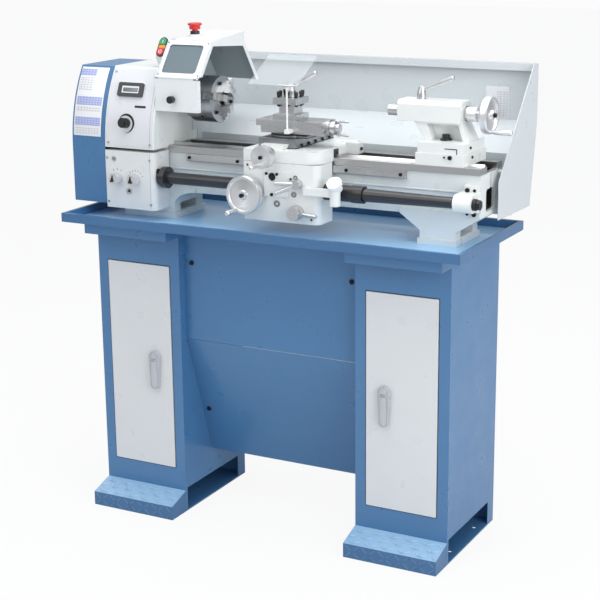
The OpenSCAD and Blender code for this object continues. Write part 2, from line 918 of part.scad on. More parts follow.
module motor() {
    fins = 12;
    color("gray") difference() {
        union() {
            rod_x(motor_left, motor_right, motor_r, motor_y, motor_z);
            span([motor_left + 25, bed_back - wall_in, motor_z - 28],
                 [motor_right - 25, motor_y, motor_z + 28]);
            span([motor_left + 35, motor_y - 24, motor_z],
                 [motor_left + 100, motor_y + 24, motor_z + motor_r + 16]);
            for (i = [0:fins - 1]) {
                translate([0, motor_y, motor_z]) rotate([-80 + 160 * i / (fins - 1), 0, 0])
                    span([motor_left + 12, motor_r - 2, -1.5], [motor_right - 12, motor_r + 5, 1.5]);
            }
        }
        rod_x(motor_left - over, motor_left + 32, motor_shaft_r + run, motor_y, motor_z);
    }
}

// Chuck

module chuck_body() {
    color("gray") difference() {
        rod_x(chuck_x0, chuck_x1, chuck_r, axis_y, spindle_z);
        rod_x(chuck_x0 - over, chuck_x1 + over, spindle_bore_r + 2, axis_y, spindle_z);
        for (i = [0:2]) {
            translate([0, axis_y, spindle_z]) rotate([i * 120 + jaw_turn, 0, 0]) {
                span([chuck_x1 - jaw_seat, -jaw_w / 2, 0], [chuck_x1 + over, jaw_w / 2, chuck_r + over]);
            }
            translate([0, axis_y, spindle_z]) rotate([i * 120 + 60 + jaw_turn, 0, 0])
                rod_z(chuck_r - 20, chuck_r + over, 6, (chuck_x0 + chuck_x1) / 2);
        }
    }
}

// Stepped jaw, drawn pointing up and turned to its slot
module jaw(i) {
    w = jaw_w - 2 * slide;
    color("darkgray") translate([0, axis_y, spindle_z]) rotate([i * 120 + jaw_turn, 0, 0])
        along_y(-w / 2, w / 2) polygon([
            [chuck_x1 - jaw_seat + slide, jaw_in + 4], [chuck_x1 - jaw_seat + slide, jaw_out],
            [chuck_x1 + 6, jaw_out], [chuck_x1 + 6, jaw_out - 10], [chuck_x1 + 14, jaw_out - 10],
            [chuck_x1 + 14, jaw_out - 21], [chuck_x1 + jaw_proud, jaw_out - 21],
            [chuck_x1 + jaw_proud, jaw_in], [chuck_x1 + 2, jaw_in], [chuck_x1 + 2, jaw_in + 4]]);
}

module jaw_1() {
    jaw(0);
}

module jaw_2() {
    jaw(1);
}

module jaw_3() {
    jaw(2);
}

// Chuck guard, switches

// Fixed hood: left wall on the headstock, sloped front, top and back, open right arch
module chuck_guard() {
    t = 2.5;
    hood = [hood_front, hood_top_front, hood_top_back, hood_back];
    skin = [[3.2, 0], [1.6, -2.6], [-2, -2.6], [-3.2, 0]];
    rim = [[17, 0], [8, -14], [-7, -13], [-16, 0]];
    color("white") difference() {
        union() {
            along_x(head_right, hood_right)
                polygon(concat(hood, [for (i = [3:-1:0]) hood[i] + skin[i]]));
            along_x(head_right, head_right + t) polygon(hood);
            along_x(hood_right - t, hood_right)
                polygon(concat(hood, [for (i = [3:-1:0]) hood[i] + rim[i]]));
            along_x(head_right + 20, hood_right)
                polygon([hood_top_front, hood_top_back + [0, 28], hood_top_back]);
            rod_z(hood_top_back[1] + 8, stop_seat_z, stop_collar_r + 3, stop_x, stop_y);
            rod_z(stop_seat_z - over, stop_seat_z + 9, stop_collar_r, stop_x, stop_y);
            for (x = [head_right + 2, hood_right - 12]) {
                rod_x(x, x + 10, hinge_r, flap_y, flap_z);
                span([x, flap_y, flap_z - over], [x + 10, hood_front[0] + 4, flap_z + 4]);
            }
        }
        on_hood() translate([head_right + 12, 11, -3 * t]) linear_extrude(3 * t + over)
            round_rect(hood_right - head_right - 30, hood_slope_l - 25, 9);
        rod_z(stop_seat_z - 4, stop_seat_z + 10, stop_stem_r + run, stop_x, stop_y);
        rod_x(head_right, hood_right + over, hinge_pin_r + run, flap_y, flap_z);
    }
}

// Places a child on the hood's slope: Y runs up the slope and Z points outwards
module on_hood() {
    translate([0, hood_front[0], hood_front[1]]) rotate([hood_slope, 0, 0]) children();
}

module guard_window() {
    color("lightcyan", 0.4) on_hood()
        span([head_right + 8, 8, -4.9], [hood_right - 8, hood_slope_l - 10, -2.9]);
}

// Front flap with its pin, returned edges and a knob
module guard_flap() {
    t = 2.5;
    deep = 14;
    left = head_right + 1.5;
    front = flap_y - 2.5;
    color("white") {
        span([left, front, flap_low], [hood_right, front + t, flap_z - hinge_r - 0.5]);
        span([left + 12, front, flap_z - hinge_r - over], [hood_right - 14, front + t, flap_z]);
        for (x = [left, hood_right - t]) {
            span([x, front, flap_low], [x + t, front + deep, flap_z - hinge_r - 2]);
        }
        rod_x(left + 12, hood_right - 14, hinge_r, flap_y, flap_z);
    }
    color("silver") rod_x(head_right + 3, hood_right - 3, hinge_pin_r, flap_y, flap_z);
    color("black") {
        rod_y(front - 8, front, 6, hood_right - 78, flap_low + 34);
        rod_y(front - 20, front - 7, 10, hood_right - 78, flap_low + 34);
    }
}

module emergency_stop() {
    cap_r = 20;
    color("red") translate([stop_x, stop_y, stop_seat_z]) {
        rotate_extrude() polygon([[0, 4], [stop_stem_r, 4], [stop_stem_r, 13.5],
            [cap_r - 5, 13.5], [cap_r - 4, 23], [cap_r, 26], [cap_r, 29], [cap_r - 3, 31], [0, 32]]);
    }
}

// Places a child on the switch box's slope: Z points outwards
module on_switch(along) {
    translate([switch_x, switch_foot[0], switch_foot[1]]) rotate([switch_slope, 0, 0])
        translate([0, along, 0]) children();
}

module switch_box() {
    color("white") difference() {
        along_x(switch_x - 15, switch_x + 15) polygon([
            switch_foot, switch_top, [switch_top[0] + 26, switch_top[1]],
            [switch_top[0] + 26, head_top], [switch_top[0] - 12, head_top]]);
        for (s = button_places) {
            on_switch(s) rod_z(-11, over, button_r + run);
        }
    }
}

module start_button() {
    color("green") on_switch(button_places[1]) rod_z(-6, 4.5, button_r);
}

module stop_button() {
    color("crimson") on_switch(button_places[0]) rod_z(-6, 4.5, button_r);
}

// Leadscrew

module leadscrew() {
    color("silver") rod_x(gear_x0 - 4, bed_right + 8, screw_r, screw_y, screw_z);
    color("dimgray") rod_x(bed_right + 0.5, bed_right + 9, screw_r + 5, screw_y, screw_z);
    color("dimgray") rod_x(bed_right + 8, bed_right + 20, screw_r + 3, screw_y, screw_z, $fn = 6);
    color("darkgray") gear(screw_teeth, screw_phase, screw_r - over, screw_y, screw_z);
}

// Flange and tube on the left, tapered tube on the right, all fixed to the bed
module screw_covers() {
    bore = screw_r + 1;
    flange_r = 30;
    color([0.12, 0.12, 0.14]) difference() {
        union() {
            rod_x(head_right, head_right + 12, flange_r - 8, screw_y, screw_z);
            rod_x(head_right + 11, head_right + 27, flange_r, screw_y, screw_z);
            rod_x(head_right + 26, tube_end, tube_r, screw_y, screw_z);
        }
        rod_x(head_right - over, tube_end + over, bore, screw_y, screw_z);
    }
    color([0.12, 0.12, 0.14]) difference() {
        translate([cone_left, screw_y, screw_z]) rotate([0, 90, 0])
            cylinder(h = bracket_x0 - cone_left, r1 = cone_r, r2 = cone_r - 4);
        rod_x(cone_left - over, bracket_x0 + over, bore, screw_y, screw_z);
    }
    // End bracket, bolted to the front of the bed
    color("whitesmoke") difference() {
        union() {
            rod_x(bracket_x0, bed_right, 23, screw_y, screw_z);
            span([bracket_x0, screw_y, screw_z - 23], [bed_right, bed_front + wall_in, screw_z + 23]);
            span([bracket_x0 + 8, bed_front + wall_in - 12, bed_low + bed_flange + 1],
                 [bed_right - 4, bed_front + wall_in, screw_z + 40]);
        }
        rod_x(bracket_x0 - over, bed_right + over, screw_r + run, screw_y, screw_z);
    }
}

// Carriage

// Plan with one large round corner at the front right
module carriage_plan(x0, x1, y0, y1, r) {
    translate([x0, y0]) square([x1 - x0 - r, y1 - y0]);
    translate([x0, y0 + r]) square([x1 - x0, y1 - y0 - r]);
    translate([x1 - r, y0 + r]) circle(r);
}

// Dovetail outline, wider at its top, grown by a clearance
module dovetail(w, h, grow) {
    polygon([[-w / 2 - grow, -over], [-w / 2 - grow, 0], [-w / 2 - h / 2 - grow, h + grow],
        [w / 2 + h / 2 + grow, h + grow], [w / 2 + grow, 0], [w / 2 + grow, -over]]);
}

module saddle() {
    color("whitesmoke") difference() {
        union() {
            translate([0, 0, apron_top]) linear_extrude(saddle_top - apron_top)
                carriage_plan(apron_left, apron_right, apron_front, bed_back + 10, 44);
            span([apron_left, bed_back - 4, way_z - way_h - 10], [apron_right, bed_back + 10, saddle_top]);
            span([apron_right - over, axis_y, way_z + slide], [wing_right, axis_y + 30, saddle_top + 6]);
            along_y(apron_front + 12, bed_back + 8) translate([cross_x, saddle_top])
                dovetail(cross_tail_w, cross_tail_h, 0);
            rod_y(apron_front - 10, apron_front + over, 15, cross_x, cross_screw_z);
        }
        // Room for the ways, the ridge and the rear way's edge
        span([apron_left - over, bed_front - slide, apron_top - over],
             [wing_right + over, bed_back + slide, way_z + slide]);
        span([apron_left - over, bed_back - 5, way_z - way_h - slide],
             [wing_right + over, bed_back + slide, way_z]);
        along_x(apron_left - over, wing_right + over) polygon([
            [ridge_y - ridge_h - 2 * slide, way_z], [ridge_y, way_z + ridge_h + 2 * slide],
            [ridge_y + ridge_h + 2 * slide, way_z]]);
        rod_y(apron_front - 11, bed_front, cross_screw_r + run, cross_x, cross_screw_z);
    }
}

module apron() {
    color("whitesmoke") difference() {
        union() {
            translate([0, 0, apron_z]) linear_extrude(apron_top - apron_z)
                carriage_plan(apron_left, apron_right, apron_front, apron_back, 20);
            span([plate_x0, apron_front - 6, plate_z0], [plate_x0 + 72, apron_front + over, plate_z0 + 66]);
            // Bracket and housing of the thread dial
            span([apron_right - 40, apron_front - 13, screw_z - 4],
                 [dial_x, apron_front + over, screw_z + 16]);
            rod_z(screw_z - 26, screw_z + 16, dial_r - 6, dial_x, dial_y);
            on_dial() rod_z(-16, 0, dial_r - 4);
        }
        rod_x(apron_left - over, apron_bore_x, tube_r + pass, screw_y, screw_z);
        rod_x(apron_bore_x - over, apron_right + over, cone_r + pass, screw_y, screw_z);
        rod_y(apron_front - over, apron_front + 11, wheel_shaft_r + run, wheel_x, wheel_z);
        rod_y(apron_front - over, apron_front + 11, lever_shaft_r + run, nut_lever_x, nut_lever_z);
        rod_y(apron_front - over, apron_front + 24, lever_shaft_r + run, feed_x, feed_z);
        on_dial() rod_z(-13, over, dial_shaft_r + run);
        rod_y(apron_front - 7, apron_front - 2, 9, plate_x0 + 26, plate_z0 + 50);
    }
}

// Sleeve on the apron that slides over the tapered cover
module cover_sleeve() {
    color([0.12, 0.12, 0.14]) difference() {
        union() {
            rod_x(apron_right, sleeve_right, cone_r + pass + 2.5, screw_y, screw_z);
            rod_x(sleeve_right - 34, sleeve_right, cone_r + pass + 4, screw_y, screw_z);
        }
        rod_x(apron_right - over, sleeve_right + over, cone_r + pass, screw_y, screw_z);
    }
}

// Dished wheel seen from its hub, facing +Z
module dished_wheel(r, hub_r, t) {
    rotate_extrude() polygon([[0, 0], [hub_r + 4, 0], [r - 9, -t * 0.45], [r - 8, -t * 0.8],
        [r - 2, -t * 0.8], [r, -t * 0.5], [r, t * 0.4], [r - 2, t * 0.7], [r - 8, t * 0.7], [r - 10, t * 0.3],
        [hub_r + 3, t * 0.5], [hub_r, t], [0, t]]);
}

// Slim grip that swells towards its end, along +Z
module grip(l, r) {
    rotate_extrude() polygon([[0, 0], [r * 0.6, 0], [r * 0.6, 4], [r * 0.75, 5], [r, l * 0.6],
        [r, l - 3], [r - 2, l], [0, l]]);
}

module apron_wheel() {
    color("lightgray") translate([wheel_x, apron_front - 24, wheel_z]) rotate([90, 0, 0]) {
        dished_wheel(apron_wheel_r, 11, 14);
        rotate(-115) translate([apron_wheel_r - 6, 0, 6]) grip(56, 7);
    }
    color("silver") rod_y(apron_front - 25, apron_front + 9, wheel_shaft_r, wheel_x, wheel_z);
}

module cross_wheel() {
    front = apron_front - 54;
    color("lightgray") {
        rod_y(front, front + 22, cross_wheel_r, cross_x, cross_screw_z);
        rod_y(front + 22, apron_front - 10.5, cross_wheel_r - 7, cross_x, cross_screw_z);
        translate([cross_x, front + over, cross_screw_z]) rotate([90, 0, 0]) rotate(-110)
            translate([cross_wheel_r - 7, 0, 0]) grip(42, 5.5);
    }
    color("silver") rod_y(apron_front - 12, bed_front - 2, cross_screw_r, cross_x, cross_screw_z);
}

module cross_slide() {
    color("darkgray") difference() {
        span([cross_x - cross_w / 2, cross_y0, saddle_top + slide],
             [cross_x + cross_w / 2, cross_y1, cross_top]);
        along_y(cross_y0 - over, cross_y1 + over) translate([cross_x, saddle_top])
            dovetail(cross_tail_w, cross_tail_h, slide);
        for (x = [-1, 1]) {
            rod_z(cross_top - 8, cross_top + over, 5, cross_x + x * 40, cross_y1 - 30);
        }
    }
}

module swivel_base() {
    color("darkgray") {
        rod_z(cross_top + slide, swivel_top, swivel_r, post_x, post_y);
        span([post_x - 40, post_y - 37, cross_top + slide], [post_x + 68, post_y + 37, swivel_top]);
        along_x(post_x - 72, post_x + 68) translate([post_y, swivel_top])
            dovetail(top_tail_w, top_tail_h, 0);
    }
}

module top_slide() {
    half = 42;
    inset = 7;
    plate_t = 16;
    color("silver") difference() {
        union() {
            span([top_left, post_y - half, top_z - plate_t], [top_right, post_y + half, top_z]);
            span([top_left + 10, post_y - half + inset, swivel_top + slide],
                 [top_right, post_y + half - inset, top_z - plate_t + over]);
            rod_x(top_right - over, top_right + 8, 20, post_y, crank_z);
            rod_z(top_z - over, stud_top, stud_pin_r, post_x, post_y);
            // Seat of the chip shield's post
            span([shield_x - 6, shield_y - 6, swivel_top + 4],
                 [shield_x + 6, post_y - half + inset + over, swivel_top + 15]);
            rod_z(swivel_top + 5, shield_z - 2, shield_post_r, shield_x, shield_y);
            rod_x(shield_x - 24, shield_x + 24, shield_pin_r, shield_y, shield_z);
        }
        along_x(top_left - over, top_right + over) translate([post_y, swivel_top])
            dovetail(top_tail_w, top_tail_h, slide);
        rod_x(top_right - 40, top_right + 9, crank_shaft_r + run, post_y, crank_z);
    }
}

// Graduated collar, crossbar and two grips
module top_crank() {
    x0 = top_right + 8.4;
    color("silver") {
        rod_x(x0, x0 + 16, 19, post_y, crank_z);
        rod_x(x0 + 16, x0 + 26, 12, post_y, crank_z);
        rod_x(top_right - 38, x0 + over, crank_shaft_r, post_y, crank_z);
        along_x(x0 + 18, x0 + 25) translate([post_y - 5, crank_z - 22]) round_rect(10, 44, 4.9);
        for (s = [-1, 1]) {
            translate([x0 + 24, post_y, crank_z + s * 18]) rotate([0, 90, 0]) grip(28, 3.8);
        }
    }
}

// Four-way toolpost with two square-headed screws over each slot
module toolpost() {
    neck = 46;
    z0 = top_z + slide;
    z1 = z0 + post_plate;
    z2 = z1 + post_slot;
    z3 = post_top;
    h = post_w / 2;
    color("darkgray") difference() {
        union() {
            span([post_x - h, post_y - h, z0], [post_x + h, post_y + h, z1]);
            span([post_x - neck / 2, post_y - neck / 2, z1 - over],
                 [post_x + neck / 2, post_y + neck / 2, z2 + over]);
            span([post_x - h, post_y - h, z2], [post_x + h, post_y + h, z3]);
            for (side = [0:3], along = [-1, 1]) {
                translate([post_x, post_y, 0]) rotate(side * 90) translate([h - 7, along * 13 - 8, 0]) {
                    rod_z(z2 - 6, z3 + 8, 4);
                    rod_z(z3 + 6, z3 + 16, 5.6, $fn = 4);
                }
            }
        }
        rod_z(z0 - over, z3 + over, stud_pin_r + run, post_x, post_y);
    }
}

module toolpost_lever() {
    z0 = post_top + 0.3;
    color("silver") {
        difference() {
            translate([post_x, post_y, z0]) rotate_extrude() polygon([
                [0, 0], [14, 0], [14, 18], [9, 34], [0, 38]]);
            rod_z(z0 - over, stud_top + pass, stud_pin_r + run, post_x, post_y);
        }
        translate([post_x, post_y, z0 + 26]) rotate([0, 62, 0]) grip(lever_l, 6);
    }
}

// Clear bent sheet on two knuckles
module chip_shield() {
    t = 3;
    y = shield_y;
    z = shield_z;
    color("azure", 0.5) difference() {
        union() {
            along_x(shield_left, shield_right) polygon([
                [y + 6, z + 1], [y + 94, z + 49], [y + 122, z + 70], [y + 124, z + 67.5],
                [y + 95.5, z + 46.3], [y + 7.5, z - 1.6]]);
            for (x = [shield_x - 20, shield_x + 10]) {
                rod_x(x, x + 10, 6.5, y, z);
                span([x, y + 3, z - 2], [x + 10, y + 9, z + 2]);
            }
        }
        rod_x(shield_left, shield_right + 20, shield_pin_r + run, y, z);
    }
}

module half_nut_lever() {
    color("lightgray") {
        rod_y(apron_front - 20, apron_front - 0.5, 13, nut_lever_x, nut_lever_z);
        rod_y(apron_front - over, apron_front + 9, lever_shaft_r, nut_lever_x, nut_lever_z);
        translate([nut_lever_x, apron_front - 12, nut_lever_z]) rotate([0, -115, 0]) rotate([18, 0, 0])
            grip(62, 6);
    }
}

module feed_knob() {
    color("lightgray") {
        rod_y(apron_front - 30, apron_front - 14, 17, feed_x, feed_z);
        rod_y(apron_front - 15, apron_front - 0.5, 20, feed_x, feed_z);
        rod_y(apron_front - over, apron_front + 22, lever_shaft_r, feed_x, feed_z);
        translate([feed_x, apron_front - 8, feed_z]) rotate([0, 95, 0]) grip(60, 5.5);
    }
}

// Places a child on the thread dial's leaning axis: Z points out of its face
module on_dial() {
    translate([dial_x, dial_y, dial_z]) rotate([dial_tilt, 0, 0]) children();
}

module thread_dial() {
    color("white") {
        on_dial() rod_z(0.3, 11, dial_r);
        on_dial() rod_z(-12, 1, dial_shaft_r);
    }
}

// Tailstock

module tailstock() {
    lower_top = way_z + 31;
    upper_top = way_z + 58;
    color("whitesmoke") difference() {
        span([tail_left, bed_front, way_z + slide], [tail_right, bed_back, lower_top]);
        along_x(tail_left - over, tail_right + over) polygon([
            [ridge_y - ridge_h - 2 * slide, way_z], [ridge_y, way_z + ridge_h + 2 * slide],
            [ridge_y + ridge_h + 2 * slide, way_z]]);
    }
    color("whitesmoke") difference() {
        union() {
            span([tail_left + 5, bed_front + 3, lower_top], [tail_right - 3, bed_back - 3, upper_top]);
            along_y(axis_y - 34, axis_y + 34) polygon([
                [tail_left + 12, upper_top - over], [tail_right - 4, upper_top - over],
                [body_right, body_low + over], [tail_left - 22, body_low + over]]);
            along_x(body_left, body_right) polygon([
                [axis_y - 38, body_low], [axis_y - 38, body_top - 10], [axis_y - 28, body_top],
                [axis_y + 28, body_top], [axis_y + 38, body_top - 10], [axis_y + 38, body_low]]);
        }
        // Window in front of the clamp
        along_y(bed_front, axis_y - 6) polygon([
            [tail_left + 30, upper_top], [tail_right - 22, upper_top],
            [tail_right - 34, body_low - 4], [tail_left + 14, body_low - 4]]);
        rod_x(body_left - over, body_right - 16, quill_r + run, axis_y, spindle_z);
        rod_x(body_right - 17, body_right + over, tail_shaft_r + run, axis_y, spindle_z);
        rod_z(spindle_z + quill_r + 6, body_top + over, lever_shaft_r + run, quill_lever_x, axis_y);
    }
    // Clamp nut and washer in the window
    color("black") {
        rod_z(upper_top, upper_top + 5, 15, tail_left + 62, axis_y - 20, $fn = 48);
        rod_z(upper_top + 4, upper_top + 16, 11, tail_left + 62, axis_y - 20, $fn = 6);
    }
}

module quill() {
    quill_end = 40;
    taper_l = 56;
    taper_r = 9;
    color("silver") difference() {
        rod_x(body_left - quill_out, body_right - quill_end, quill_r, axis_y, spindle_z);
        translate([body_left - quill_out - over, axis_y, spindle_z]) rotate([0, 90, 0])
            cylinder(h = taper_l, r1 = taper_r, r2 = taper_r - 1.5);
    }
}

module tail_wheel() {
    color("lightgray") {
        translate([tail_wheel_x, axis_y, spindle_z]) rotate([0, 90, 0]) {
            dished_wheel(tail_wheel_r, 11, 14);
            rotate(-12) translate([tail_wheel_r - 6, 0, 6]) grip(tail_grip_l, 7);
        }
        rod_x(body_right + 0.4, body_right + tail_collar_l, 19, axis_y, spindle_z);
    }
    color("silver") rod_x(body_right - 14, tail_wheel_x + over, tail_shaft_r, axis_y, spindle_z);
}

module quill_lever() {
    cap_h = 35;
    color("silver") {
        translate([quill_lever_x, axis_y, body_top + 0.4]) rotate_extrude() polygon([
            [0, 0], [12, 0], [12, 14], [7, cap_h - 3], [0, cap_h]]);
        rod_z(spindle_z + quill_r + 7, body_top + over, lever_shaft_r, quill_lever_x, axis_y);
        translate([quill_lever_x, axis_y, body_top + 22]) rotate([0, 68, 0]) grip(lever_l + 8, 6);
    }
}

left_cabinet();
right_cabinet();
foot_steps();
front_panel();
chip_tray();
left_door();
right_door();
left_latch();
right_latch();
door_hinge_pins();
bed();
feed_rack();
splash_guard();
headstock();
control_panel();
speed_knob();
gearbox();
left_selector();
right_selector();
gear_cover();
cover_hinge();
spindle();
spindle_bearings();
idler_gear();
gear_quadrant();
motor_pulley();
drive_belt();
motor();
chuck_body();
jaw_1();
jaw_2();
jaw_3();
chuck_guard();
guard_window();
guard_flap();
emergency_stop();
switch_box();
start_button();
stop_button();
leadscrew();
screw_covers();
saddle();
apron();
cover_sleeve();
apron_wheel();
cross_wheel();
cross_slide();
swivel_base();
top_slide();
top_crank();
toolpost();
toolpost_lever();
chip_shield();
half_nut_lever();
feed_knob();
thread_dial();
tailstock();
quill();
tail_wheel();
quill_lever();
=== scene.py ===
# %% [markdown]
# # A bench lathe on its stand
# The lathe's solids come in as a fixed frame: every node already has its true size and place, in metres.
# This lesson gives each of them a finish, adds the small pieces that a solid model leaves out, and sets up
# the photographer's camera, floor and lamps.

# %% Load the solids
import bpy
import math
from mathutils import Matrix, Vector


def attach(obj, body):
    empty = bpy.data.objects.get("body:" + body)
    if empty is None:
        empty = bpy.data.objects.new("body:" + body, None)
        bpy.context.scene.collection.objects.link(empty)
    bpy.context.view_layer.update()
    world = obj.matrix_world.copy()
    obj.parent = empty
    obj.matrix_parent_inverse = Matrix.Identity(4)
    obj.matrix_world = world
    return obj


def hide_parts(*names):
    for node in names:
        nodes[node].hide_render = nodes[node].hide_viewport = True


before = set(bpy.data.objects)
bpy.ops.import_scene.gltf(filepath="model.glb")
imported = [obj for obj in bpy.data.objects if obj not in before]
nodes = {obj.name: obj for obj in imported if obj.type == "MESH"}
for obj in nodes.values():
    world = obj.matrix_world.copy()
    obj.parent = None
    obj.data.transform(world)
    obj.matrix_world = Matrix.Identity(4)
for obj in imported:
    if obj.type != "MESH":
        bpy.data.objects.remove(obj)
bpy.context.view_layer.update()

# %% [markdown]
# ## Camera
# The viewpoint was worked out from the straight edges of the tray, the cabinets and the bed: the camera stands in
# front and to the right, a little above the tray, with a long lens. It is made first, so that every later step can
# be looked at from there.

# %% Camera
AZIMUTH, ELEVATION, ROLL = math.radians(28.19), math.radians(14.99), math.radians(-0.61)
CAMERA_PLACE, CAMERA_LENS, CAMERA_SENSOR = (1.921, -3.551, 1.706), 89.3, 36
level = Vector((math.cos(AZIMUTH), math.sin(AZIMUTH), 0))
ahead = Vector((-math.sin(AZIMUTH), math.cos(AZIMUTH), 0))
forward = ahead * math.cos(ELEVATION) - Vector((0, 0, math.sin(ELEVATION)))
upright = level.cross(forward)
right = math.cos(ROLL) * level + math.sin(ROLL) * upright
up = -math.sin(ROLL) * level + math.cos(ROLL) * upright
bpy.ops.object.select_all(action="DESELECT")
bpy.ops.object.camera_add(location=CAMERA_PLACE)
camera = bpy.context.object
camera.rotation_euler = Matrix((right, up, -forward)).transposed().to_euler()
camera.data.sensor_width = CAMERA_SENSOR
camera.data.lens = CAMERA_LENS
scene = bpy.context.scene
scene.camera = camera
scene.view_settings.view_transform = "Standard"
print("camera at", CAMERA_PLACE, "lens", CAMERA_LENS)

# %% [markdown]
# ## Light and floor
# A studio shot of a machine uses large soft lamps and a white sweep. The world gives even light from all sides,
# big area lamps model the shapes, and the floor is pale and takes a faint shadow. The camera sees the world as
# plain white. Glossy rays see a sweep that is bright overhead and dim at eye level, so that polished steel shows
# bright edges and darker sides.

# %% World
def wire(tree, out, into):
    tree.links.new(out, into)

def add(tree, kind):
    return tree.nodes.new("ShaderNode" + kind)

def spread(tree, value, low, high, to_low, to_high):
    made = add(tree, "MapRange")
    for key, number in zip(("From Min", "From Max", "To Min", "To Max"), (low, high, to_low, to_high)):
        made.inputs[key].default_value = number
    wire(tree, value, made.inputs["Value"])
    return made.outputs["Result"]

def mix_shaders(tree, share, first, second):
    made = add(tree, "MixShader")
    for number, out in enumerate((share, first, second)):
        wire(tree, out, made.inputs[number])
    return made.outputs[0]

def backdrop(colour, strength):
    made = add(sky, "Background")
    made.inputs["Color"].default_value = colour
    made.inputs["Strength"].default_value = strength
    return made

world = bpy.data.worlds.new("studio")
scene.world = world
world.use_nodes = True
sky = world.node_tree
sky.nodes.clear()
sky_light = backdrop((0.93, 0.96, 1.0, 1), 0.66)
sky_seen = backdrop((1, 1, 1, 1), 0.97)
sky_sweep = backdrop((0.8, 0.8, 0.8, 1), 1.0)
sky_way = add(sky, "SeparateXYZ")
wire(sky, add(sky, "TexCoord").outputs["Generated"], sky_way.inputs[0])
wire(sky, spread(sky, sky_way.outputs["Z"], -0.1, 0.7, 0.3, 1.25), sky_sweep.inputs["Strength"])
rays = add(sky, "LightPath").outputs
unseen = mix_shaders(sky, rays["Is Glossy Ray"], sky_light.outputs[0], sky_sweep.outputs[0])
sky_mix = mix_shaders(sky, rays["Is Camera Ray"], unseen, sky_seen.outputs[0])
wire(sky, sky_mix, add(sky, "OutputWorld").inputs["Surface"])
print("world", len(sky.nodes), "nodes")

# %% Lamps
def lamp(name, place, aim, size, power):
    bpy.ops.object.light_add(type="AREA", location=place)
    light = bpy.context.object
    light.name = name
    light.data.size = size
    light.data.energy = power
    light.rotation_euler = (Vector(aim) - Vector(place)).to_track_quat("-Z", "Y").to_euler()

lamp("key_lamp", (-1.6, -3.4, 3.6), (0, 0, 0.9), 2.4, 28)
lamp("side_lamp", (3.3, -1.5, 1.9), (0.1, 0, 0.9), 2.2, 58)
lamp("top_lamp", (0.2, -0.3, 3.6), (0, 0, 1.1), 2.6, 66)

# %% Floor
FLOOR_SIZE, FLOOR_GLOW = 40, 0.9
bpy.ops.object.select_all(action="DESELECT")
bpy.ops.mesh.primitive_plane_add(size=FLOOR_SIZE, location=(0, 0, 0))
floor = bpy.context.object
floor.name = "floor"
floor_paint = bpy.data.materials.new("floor_paint")
floor_paint.use_nodes = True
tree = floor_paint.node_tree
floor_shader = tree.nodes["Principled BSDF"]
floor_shader.inputs["Base Color"].default_value = (0.74, 0.75, 0.76, 1)
floor_shader.inputs["Roughness"].default_value = 0.7
glow = add(tree, "Emission")
glow.inputs["Color"].default_value = (1, 1, 1, 1)
share = add(tree, "Math")
share.operation = "MULTIPLY"
share.inputs[1].default_value = FLOOR_GLOW
wire(tree, add(tree, "LightPath").outputs["Is Camera Ray"], share.inputs[0])
seen = mix_shaders(tree, share.outputs[0], floor_shader.outputs[0], glow.outputs[0])
wire(tree, seen, tree.nodes["Material Output"].inputs["Surface"])
floor.data.materials.append(floor_paint)
print("floor", floor.dimensions[:])

# %% [markdown]
# ## Effects that several finishes share
# Sprayed enamel is never one flat colour: it has a faint mottle, an orange-peel skin and a gloss that wanders.
# Machined steel shows fine lines in the direction of the cut. Turned handwheels show rings round their axis. Each of
# these effects is a node group, built once from Object coordinates and placed in every material that needs it. A
# further group marks the inside of a box, for a small piece of another colour on the same casting.
# The same box also marks where shade or light is painted onto part of a surface.

# %% Shader group: enamel skin
def new_group(name, inputs, outputs):
    tree = bpy.data.node_groups.new(name, "ShaderNodeTree")
    for way, sockets in (("INPUT", inputs), ("OUTPUT", outputs)):
        for key, kind in sockets.items():
            tree.interface.new_socket(name=key, in_out=way, socket_type="NodeSocket" + kind)
    return tree, tree.nodes.new("NodeGroupInput").outputs, tree.nodes.new("NodeGroupOutput").inputs

def noise(tree, scale, detail, vector, rough=0.5):
    made = add(tree, "TexNoise")
    for key, value in (("Scale", scale), ("Detail", detail), ("Roughness", rough)):
        made.inputs[key].default_value = value
    wire(tree, vector, made.inputs["Vector"])
    return made.outputs["Fac"]

def blend_colour(tree, factor, first, second):
    made = add(tree, "Mix")
    made.data_type = "RGBA"
    for value, place in ((factor, 0), (first, 6), (second, 7)):
        if isinstance(value, tuple):
            made.inputs[place].default_value = value
        else:
            wire(tree, value, made.inputs[place])
    return made.outputs[2]

SURFACE = {"Color": "Color", "Roughness": "Float", "Height": "Float"}
COLOURS = {"Vector": "Vector", "Paint": "Color", "Shade": "Color"}
skin, given, gives = new_group("enamel_skin", COLOURS, SURFACE)
enamel_skin = skin
mottle = spread(skin, noise(skin, 2.6, 4, given["Vector"]), 0.35, 0.7, 0.0, 0.32)
grime = spread(skin, noise(skin, 38, 6, given["Vector"], 0.65), 0.5, 0.82, 0.0, 0.07)
tone = blend_colour(skin, mottle, given["Paint"], given["Shade"])
gloss = spread(skin, noise(skin, 16, 3, given["Vector"]), 0.3, 0.7, 0.26, 0.4)
wire(skin, blend_colour(skin, grime, tone, given["Shade"]), gives["Color"])
wire(skin, gloss, gives["Roughness"])
wire(skin, noise(skin, 420, 2, given["Vector"]), gives["Height"])
print("group", enamel_skin.name)

# %% Shader group: machined lines
lines, given, gives = new_group("machined_lines", COLOURS, SURFACE)
machined_lines = lines
cut = noise(lines, 90, 5, given["Vector"], 0.6)
film = spread(lines, noise(lines, 3, 4, given["Vector"]), 0.3, 0.75, 0.0, 0.6)
wire(lines, blend_colour(lines, film, given["Paint"], given["Shade"]), gives["Color"])
wire(lines, spread(lines, cut, 0.25, 0.75, 0.2, 0.42), gives["Roughness"])
wire(lines, cut, gives["Height"])
print("group", machined_lines.name)

